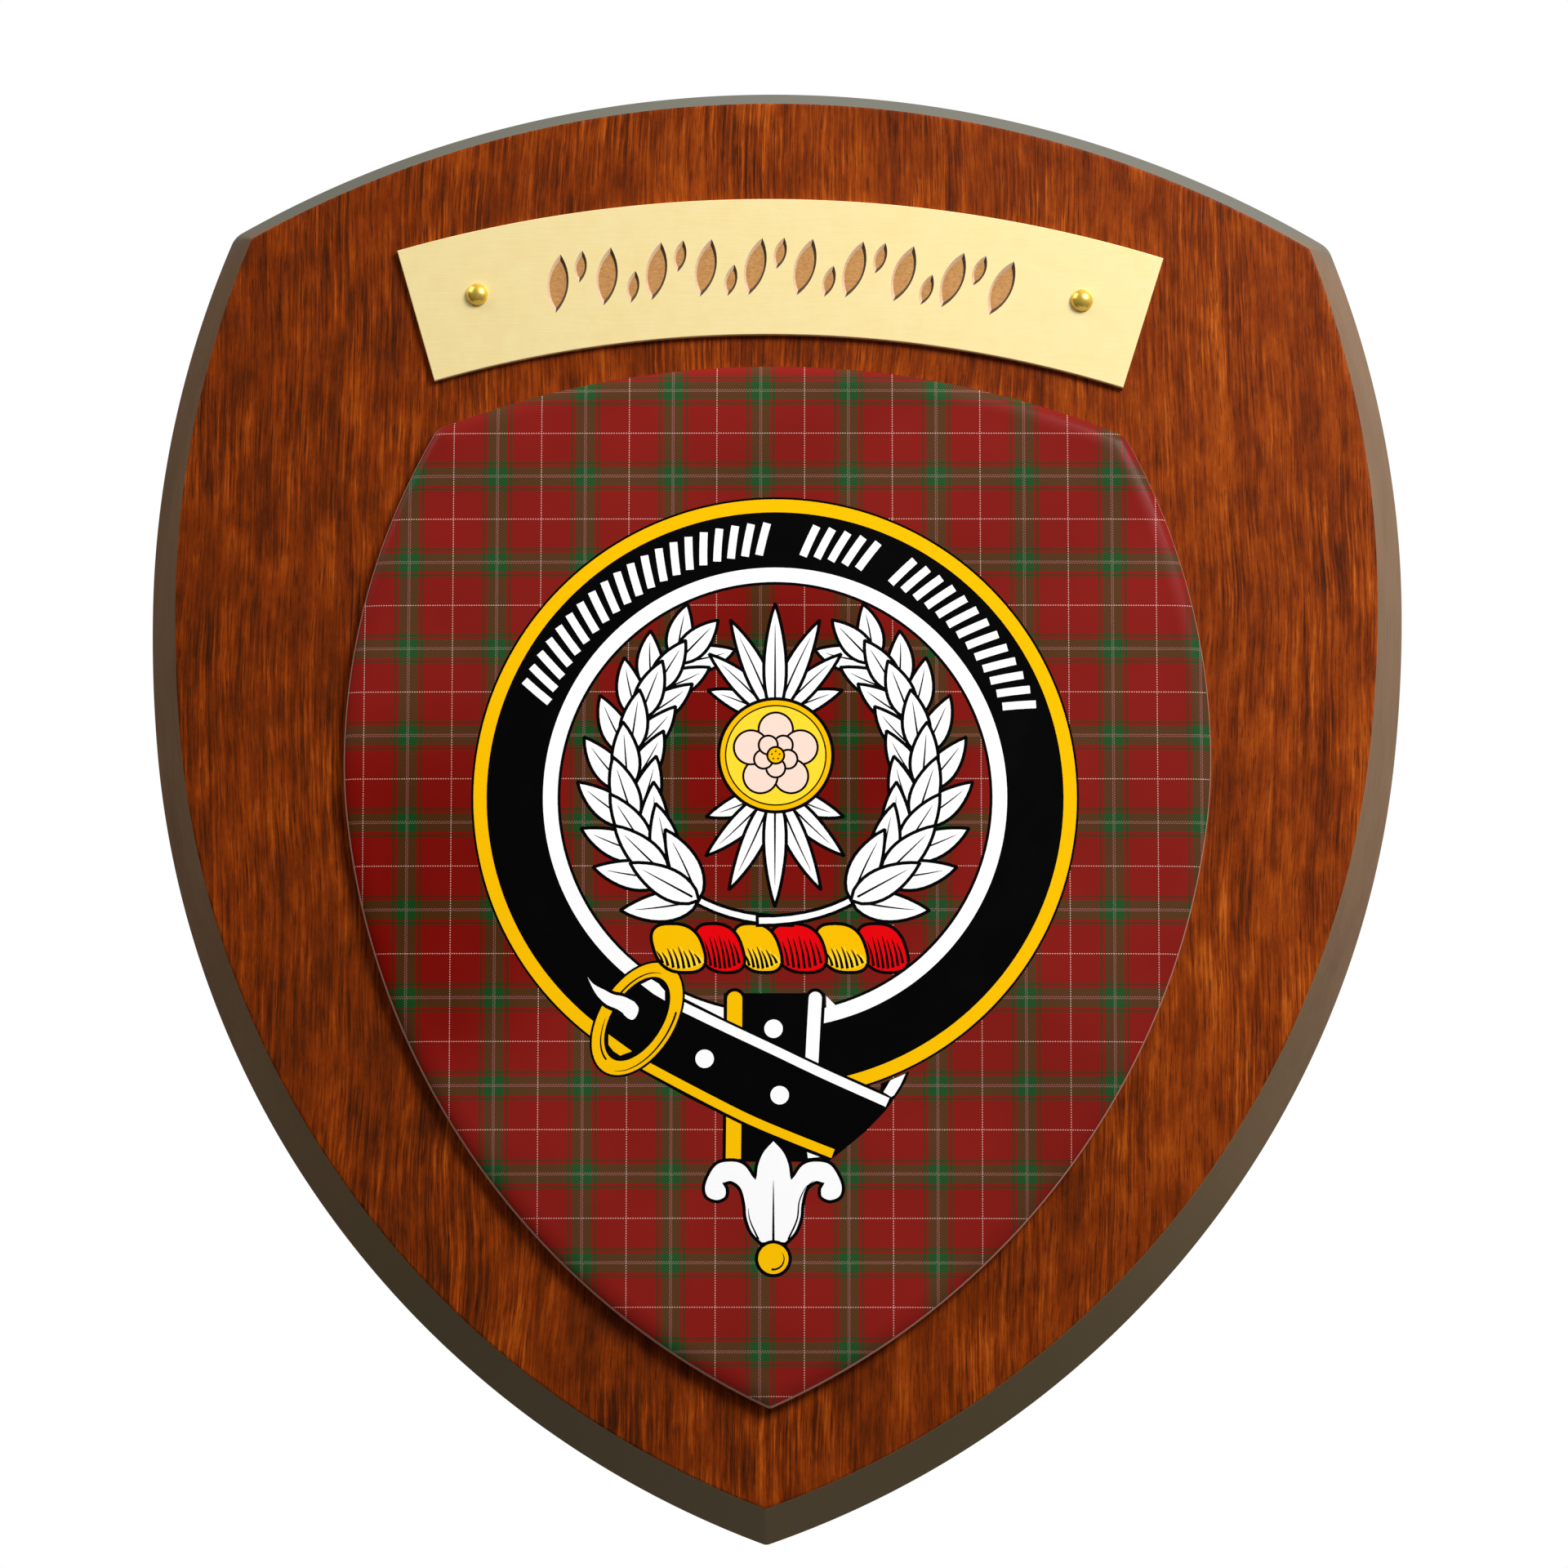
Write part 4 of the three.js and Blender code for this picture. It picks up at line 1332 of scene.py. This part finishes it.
def wreath_lobe(left, right, count=40):
    """A slanted oval with full corners: both coordinates are the cosine and sine of an angle, each
    to the power of the fullness with its sign kept, and the sideways one also follows the slant."""
    angle = np.linspace(0, 2 * math.pi, count, endpoint=False)
    across, along = np.cos(angle), np.sin(angle)
    across = np.sign(across) * np.abs(across) ** WREATH_FULLNESS
    along = np.sign(along) * np.abs(along) ** WREATH_FULLNESS
    half_height = (WREATH_TOP - WREATH_FOOT) / 2
    x = (left + right) / 2 + across * (right - left + LOBE_OVERLAP) / 2 - along * half_height * WREATH_SLANT
    z = (WREATH_TOP + WREATH_FOOT) / 2 + along * half_height
    return np.stack([x, z], axis=1)


def hatch_line(left, right, line, rise):
    """One short line at the foot of a lobe, bent with its slant. The lines are longest in the
    middle of the lobe, every other one is a little shorter, and their feet follow its curve."""
    off_middle = line - (HATCH_LINES - 1) / 2
    across = left + (right - left) * (line + HATCH_START) / (HATCH_LINES + HATCH_SPARE)
    top = HATCH_TOP - HATCH_STAGGER * (line % 2) - HATCH_FALL * abs(off_middle) + rise
    foot = HATCH_FOOT + HATCH_CURVE * off_middle**2
    return curve([(across + aside, z) for aside, z in zip(HATCH_BEND, (foot, (top + foot) / 2, top))])


for number in range(len(WREATH_EDGES) - 2, -1, -1):
    left, right = WREATH_EDGES[number], WREATH_EDGES[number + 1]
    ink, between, rise = ("gold", "lemon", 0.0) if number % 2 == 0 else ("red", "red", RED_HATCH_RISE)
    outlined(ink, wreath_lobe(left, right))
    for line in range(HATCH_LINES):
        hatch = hatch_line(left, right, line, rise)
        paint(between, tapered(hatch + [HATCH_GAP, 0.0], HATCH_GAP))
        paint("black", tapered(hatch, HATCH_WIDTH))
print("outlines down to the wreath:", len(drawing))

# %% Laurel branches
STEM = ((2.4, -17.0), (-21.0, -17.5), (-26.0, 6.0), (-13.4, 18.6))
STEM_POINTS = 60
STEM_WIDTH = 1.3
STATIONS = 9
FIRST_LEAF_AT = 13  # the stem's point where the lowest leaves stand
LEAF_SPREAD = 42.0
LEAF_LENGTH, LEAF_WIDTH = (10.6, 8.0), (4.1, 3.6)  # at the foot of the branch and at its top
LEAF_BEND = 1.1


def laurel_branch(side):
    """Three leaves at each station along the stem: one along it, and two turned to its sides."""
    stem = bezier(*STEM, STEM_POINTS) * [-side, 1.0]
    outlined("white", tapered(stem[::2], STEM_WIDTH))
    ahead = np.gradient(stem, axis=0)
    heading = np.arctan2(ahead[:, 0], ahead[:, 1])
    for share in np.linspace(1, 0, STATIONS):
        index = int(round(FIRST_LEAF_AT + share * (STEM_POINTS - 1 - FIRST_LEAF_AT)))
        length, width = np.interp(share, (0, 1), LEAF_LENGTH), np.interp(share, (0, 1), LEAF_WIDTH)
        for turn in (-1, 1, 0):
            angle = heading[index] + turn * math.radians(LEAF_SPREAD)
            white_leaf(stem[index], angle, length, width, bend=-turn * LEAF_BEND)


for side in (-1, 1):
    laurel_branch(side)
print("outlines down to the branches:", len(drawing))

# %% Fans of leaves
FAN_LEAF_WIDTH = 3.1
FAN_LEAF_BEND = 0.9
FAN_SPREAD = 21.0
FAN_ABOVE = ((0.0, 11.0), 0.0, (15.6, 14.6, 12.4, 9.8))
FAN_BELOW = ((0.0, 1.0), math.pi, (16.0, 15.0, 13.0, 10.0))


def fan(base, heading, lengths):
    """Leaves in pairs on both sides of a heading, the outer ones first, and one in the middle."""
    for number in range(len(lengths) - 1, -1, -1):
        for side in (-1, 1) if number else (0,):
            angle = heading + side * math.radians(FAN_SPREAD * number)
            white_leaf(base, angle, lengths[number], FAN_LEAF_WIDTH, bend=side * FAN_LEAF_BEND)


fan(*FAN_ABOVE)
fan(*FAN_BELOW)
print("outlines down to the fans:", len(drawing))

# %% Roundel and rose
ROUNDEL = (0.1, 5.7)
ROUNDEL_RADIUS = 7.8
ROUNDEL_INSIDE = (("black", 6.95), ("lemon", 6.75))
PETAL_RINGS = ((3.55, 2.35, 0.0), (1.75, 1.3, 0.5))  # ring, petal, and turn as a share of a step
ROSE_EYE = 1.15
SEED_RING, SEED_RADIUS = 0.55, 0.13
ROSE_LINE = 0.3


def five_round(radius, turn=0.0):
    """Five places round the roundel's middle: it plus the radius times (sin, cos) of fifths of a
    turn, counted clockwise from upright."""
    for number in range(5):
        angle = 2 * math.pi * (number + turn) / 5
        yield np.array(ROUNDEL) + radius * np.array([math.sin(angle), math.cos(angle)])


outlined("gold", disc(ROUNDEL, ROUNDEL_RADIUS, 96))
for ink, radius in ROUNDEL_INSIDE:
    paint(ink, disc(ROUNDEL, radius, 96))
for ring_radius, petal_radius, turn in PETAL_RINGS:
    for middle in five_round(ring_radius, turn):
        outlined("blush", disc(middle, petal_radius, 40), ROSE_LINE)
outlined("gold", disc(ROUNDEL, ROSE_EYE, 32), ROSE_LINE)
for seed in five_round(SEED_RING):
    paint("black", disc(seed, SEED_RADIUS, 10))
print("outlines in the whole drawing:", len(drawing))

# %% [markdown]
# ## The printed panel
# The drawing is laid out on the panel, turned by the slight angle of the print, and the panel's
# face is divided along its lines. Rings near the rim and a grid of loose points give the surface
# enough points to follow its height. Every corner of every face then gets the colour of its ink,
# with no ink at all, which is an alpha of zero, where the tartan shows. A pale line in the rim ink
# is painted round the edge as a painted highlight of the rolled edge, and the tartan is moved up and
# to the right so that this painted highlight is wider along the sides and the lower edges.

# %% Panel mesh
PRINT_TURN = math.radians(0.604)
PRINT_MIDDLE = (0.17, -0.4)
# The pale rim line is a painted highlight; the shift of the tartan makes it wider on the left and below.
RIM_LINE = 0.16
RIM_SHIFT = (0.04, 0.13)
ROLL_RINGS = 9
SUPPORT_RING = 5.0
GRID_STEP = 2.0
GRID_FROM, GRID_TO = (-60.0, -84.0), (60.0, 60.0)
GRID_INSET = 6.0  # nearer than this to the rim, the rings alone give the points

quarter = np.linspace(0, math.pi / 2, ROLL_RINGS)
roll_insets = ROLL_WIDTH * (1 - np.sin(quarter[1:]))[::-1]
painted = [("rim", panel_ring(0.0)), ("tartan", panel_ring(RIM_LINE) + RIM_SHIFT)]
painted += [(ink, turned(outline, PRINT_TURN) + PRINT_MIDDLE) for ink, outline in drawing]
guides = [panel_ring(inset) for inset in (*roll_insets[1:], ROLL_WIDTH, SUPPORT_RING)]

across, upwards = (np.arange(GRID_FROM[axis], GRID_TO[axis], GRID_STEP) for axis in (0, 1))
loose = np.stack(np.meshgrid(across, upwards), axis=-1).reshape(-1, 2)
inside, _ = from_rim(loose)
loose = loose[inside > GRID_INSET]

points, triangles, on_top = regions([outline for _, outline in painted], guides, loose)
depth, normal = panel_surface(points)
print("panel face:", len(points), "points,", len(triangles), "triangles")


def panel_mesh():
    """The printed face, an upright side down to the board, and a flat back, joined at the rim."""
    ring = panel_ring(0.0)
    side = upright_rings([ring, ring], [FACE_Y, FACE_Y - PANEL_EDGE])
    rim = grid_faces(2, len(ring)).tolist()
    back = [list(range(len(ring)))[::-1]]
    face = in_space(points, depth)
    mesh = joined_mesh("printed_panel", [(face, triangles.tolist()), (side.reshape(-1, 3), rim + back)])
    inks = np.array([INK[ink] for ink, _ in painted])[on_top]
    # The side and the back keep the pale rim ink; on the face it is a painted highlight along the edge.
    colours = np.tile(INK["rim"], (len(mesh.loops), 1))
    colours[: 3 * len(triangles)] = np.repeat(inks, 3, axis=0)
    mesh.color_attributes.new("ink", "FLOAT_COLOR", "CORNER")
    mesh.color_attributes["ink"].data.foreach_set("color", colours.ravel())
    merge_points(mesh)
    return mesh


panel = link_piece("printed_panel", panel_mesh())
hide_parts("tartan_panel")

# %% Panel normals
LEVEL_WITH = 1e-4  # a face that is no more than this above a height belongs to what ends there

mesh = panel.data
mesh.shade_smooth()
places = each(mesh.vertices, "co", 3)[:, [0, 2]] / MM
corner_point = each(mesh.loops, "vertex_index", kind=np.int64)
corner_count = each(mesh.polygons, "loop_total", kind=np.int64)
height = np.repeat(FACE_Y - each(mesh.polygons, "center", 3)[:, 1] / MM, corner_count)

_, normal = panel_surface(places)
_, inward = from_rim(places)
corner_normal = normal[corner_point]
on_side = (height < PANEL_EDGE + LEVEL_WITH)[:, None]
corner_normal = np.where(on_side, in_space(-inward, 0.0)[corner_point], corner_normal)
on_back = (height < LEVEL_WITH)[:, None]
corner_normal = np.where(on_back, [0.0, 1.0, 0.0], corner_normal)
mesh.normals_split_custom_set(corner_normal.tolist())
print("corner normals set:", len(corner_normal))

# %% [markdown]
# ## The tartan
# A tartan is one list of coloured stripes used both lengthwise and across, woven in twill. At every
# crossing the two threads share the surface, so the colour there is half of each, in fine diagonal
# ribs. The shader does just that: it looks up the same stripe list twice, by x and by z, and mixes
# the two by a slanted wave as fine as the twill. This cloth is a print, whose screen colours were
# averaged as they were, so the stripes are mixed as screen colours too and turned into light
# afterwards. The pale lines are dotted, because only every other thread of them is on top. A faint
# pale bloom lies on the cloth except in two spots, inside the emblem's belt and over the left of the
# cloth, where it is left out as painted shade. The inks lie over it wherever the drawing has them,
# and a clear coat covers everything.

# %% Tartan and inks
SETT = (12.065, 11.99)  # the repeat across and upwards
SETT_WHITE_AT = (-32.0, -57.84)  # where one of the white lines lies on either axis
THREAD = 0.335  # from one thread to the next
TWILL_SWAY = 0.22  # how far the mix of the two threads swings from half of each
GREEN, DARK_GREEN = (0.1, 0.255, 0.115, 1.0), (0.13, 0.225, 0.095, 1.0)
RED, DARK_RED = (0.45, 0.08, 0.06, 1.0), (0.3, 0.06, 0.05, 1.0)
PINK, WHITE = (0.85, 0.5, 0.58, 1.0), (0.97, 0.88, 0.82, 1.0)
STRIPES = [
    (0.0, GREEN), (0.109, RED), (0.1335, DARK_GREEN), (0.1475, DARK_RED), (0.153, DARK_GREEN), (0.167, RED)
]
# Stripes and lines are placed by how far they are from the middle of the repeat, as a share of it.
PINK_AT, PINK_HALF, WHITE_FROM = 0.0098, 0.0048, 0.4953
PINK_DASH, WHITE_DASH = 0.55, 0.5  # how much of each thread's width shows in the dotted lines
PINK_SHARE, WHITE_SHARE = 0.5, 0.7  # how strongly the dotted lines cover what is under them
SCREEN_GAMMA = 2.2
BLOOM = 0.05
# Painted shade: two spots where the pale bloom is left out, so the cloth is darker there.
SHADE_SPOTS = (((-50.0, -14.0), 34.0), ((0.0, 6.0), 38.0))  # middle and radius of each
SHADE_CORE = 0.3  # the share of a shaded spot's radius within which there is no bloom at all

panel_finish, tree, shader, place = new_material("printed_tartan")
turned_place = add(tree, "Mapping", vector=place, rotation=(0.0, PRINT_TURN, 0.0)).outputs[0]
axes = add(tree, "SeparateXYZ", _0=turned_place)


def dotted(line, thread, dash):
    """A line broken up by the threads that cross it: only a dash of each thread's width shows."""
    return calc(tree, "MULTIPLY", line, calc(tree, "LESS_THAN", calc(tree, "FRACT", thread), dash))


def stripes(along, across, sett, origin):
    """One direction of threads: stripe colours by the distance from the middle of the repeat, and
    how strongly the pink and white dotted lines show there."""
    share = calc(tree, "FRACT", calc(tree, "MULTIPLY_ADD", along, 1 / (sett * MM), -origin / sett))
    off_middle = calc(tree, "ABSOLUTE", calc(tree, "SUBTRACT", share, 0.5))
    colour = ramp(tree, off_middle, STRIPES, how="CONSTANT")
    thread = calc(tree, "MULTIPLY", across, 1 / (THREAD * MM))
    stagger = calc(tree, "MULTIPLY_ADD", calc(tree, "GREATER_THAN", share, 0.5), 0.5, thread)
    off_pink = calc(tree, "ABSOLUTE", calc(tree, "SUBTRACT", off_middle, PINK_AT))
    pink = dotted(calc(tree, "LESS_THAN", off_pink, PINK_HALF), stagger, PINK_DASH)
    white = dotted(calc(tree, "GREATER_THAN", off_middle, WHITE_FROM), thread, WHITE_DASH)
    return colour, pink, white


def grey(value):
    """A grey whose three channels are all one value."""
    return add(tree, "CombineXYZ", x=value, y=value, z=value).outputs[0]


x, z = axes.outputs[0], axes.outputs[2]
warp, warp_pink, warp_white = stripes(x, z, SETT[0], SETT_WHITE_AT[0])
weft, weft_pink, weft_white = stripes(z, x, SETT[1], SETT_WHITE_AT[1])
diagonal = calc(tree, "ADD", x, z)
twill = calc(tree, "SINE", calc(tree, "MULTIPLY", diagonal, 2 * math.pi / (THREAD * MM)))
twill = calc(tree, "MULTIPLY_ADD", twill, TWILL_SWAY, 0.5)
cloth = blend_colours(tree, twill, warp, weft)
pink = calc(tree, "MULTIPLY", calc(tree, "MAXIMUM", warp_pink, weft_pink), PINK_SHARE)
cloth = blend_colours(tree, pink, cloth, PINK)
white = calc(tree, "MULTIPLY", calc(tree, "MAXIMUM", warp_white, weft_white), WHITE_SHARE)
cloth = blend_colours(tree, white, cloth, WHITE)
bloom = BLOOM
# Painted shade: the bloom fades out towards the middle of each shaded spot.
for (across_at, up_at), radius in SHADE_SPOTS:
    spot = (across_at * MM, FACE_Y * MM, up_at * MM)
    away = add(tree, "VectorMath", {"operation": "DISTANCE"}, _0=place, _1=spot).outputs["Value"]
    clear = spread(tree, away, (SHADE_CORE * radius * MM, radius * MM), how="SMOOTHSTEP")
    bloom = calc(tree, "MULTIPLY", bloom, clear)
cloth = blend_colours(tree, 1.0, cloth, grey(bloom), how="ADD")
cloth = add(tree, "Gamma", _0=cloth, _1=SCREEN_GAMMA).outputs[0]
dye = noise(tree, place, (26.0, 26.0, 20.0), detail=2.0, seed=12.0)
dye = spread(tree, dye, (0.35, 0.65), (0.9, 1.06))
cloth = blend_colours(tree, 1.0, cloth, grey(dye), how="MULTIPLY")
ink = add(tree, "Attribute", {"attribute_name": "ink"})
ripple = noise(tree, place, (5.0, 5.0, 5.0), detail=2.0, seed=13.0)
feed(
    tree,
    shader,
    base_color=blend_colours(tree, ink.outputs["Alpha"], cloth, ink.outputs["Color"]),
    roughness=spread(tree, ripple, (0.3, 0.7), (0.36, 0.28)),
    normal=bumps(tree, ripple, 0.06, 0.05),
    specular_ior_level=0.05,
    coat_weight=0.02,
    coat_roughness=0.12,
)
panel.data.materials.append(panel_finish)
print("tartan repeat, across and up:", SETT, "mm")
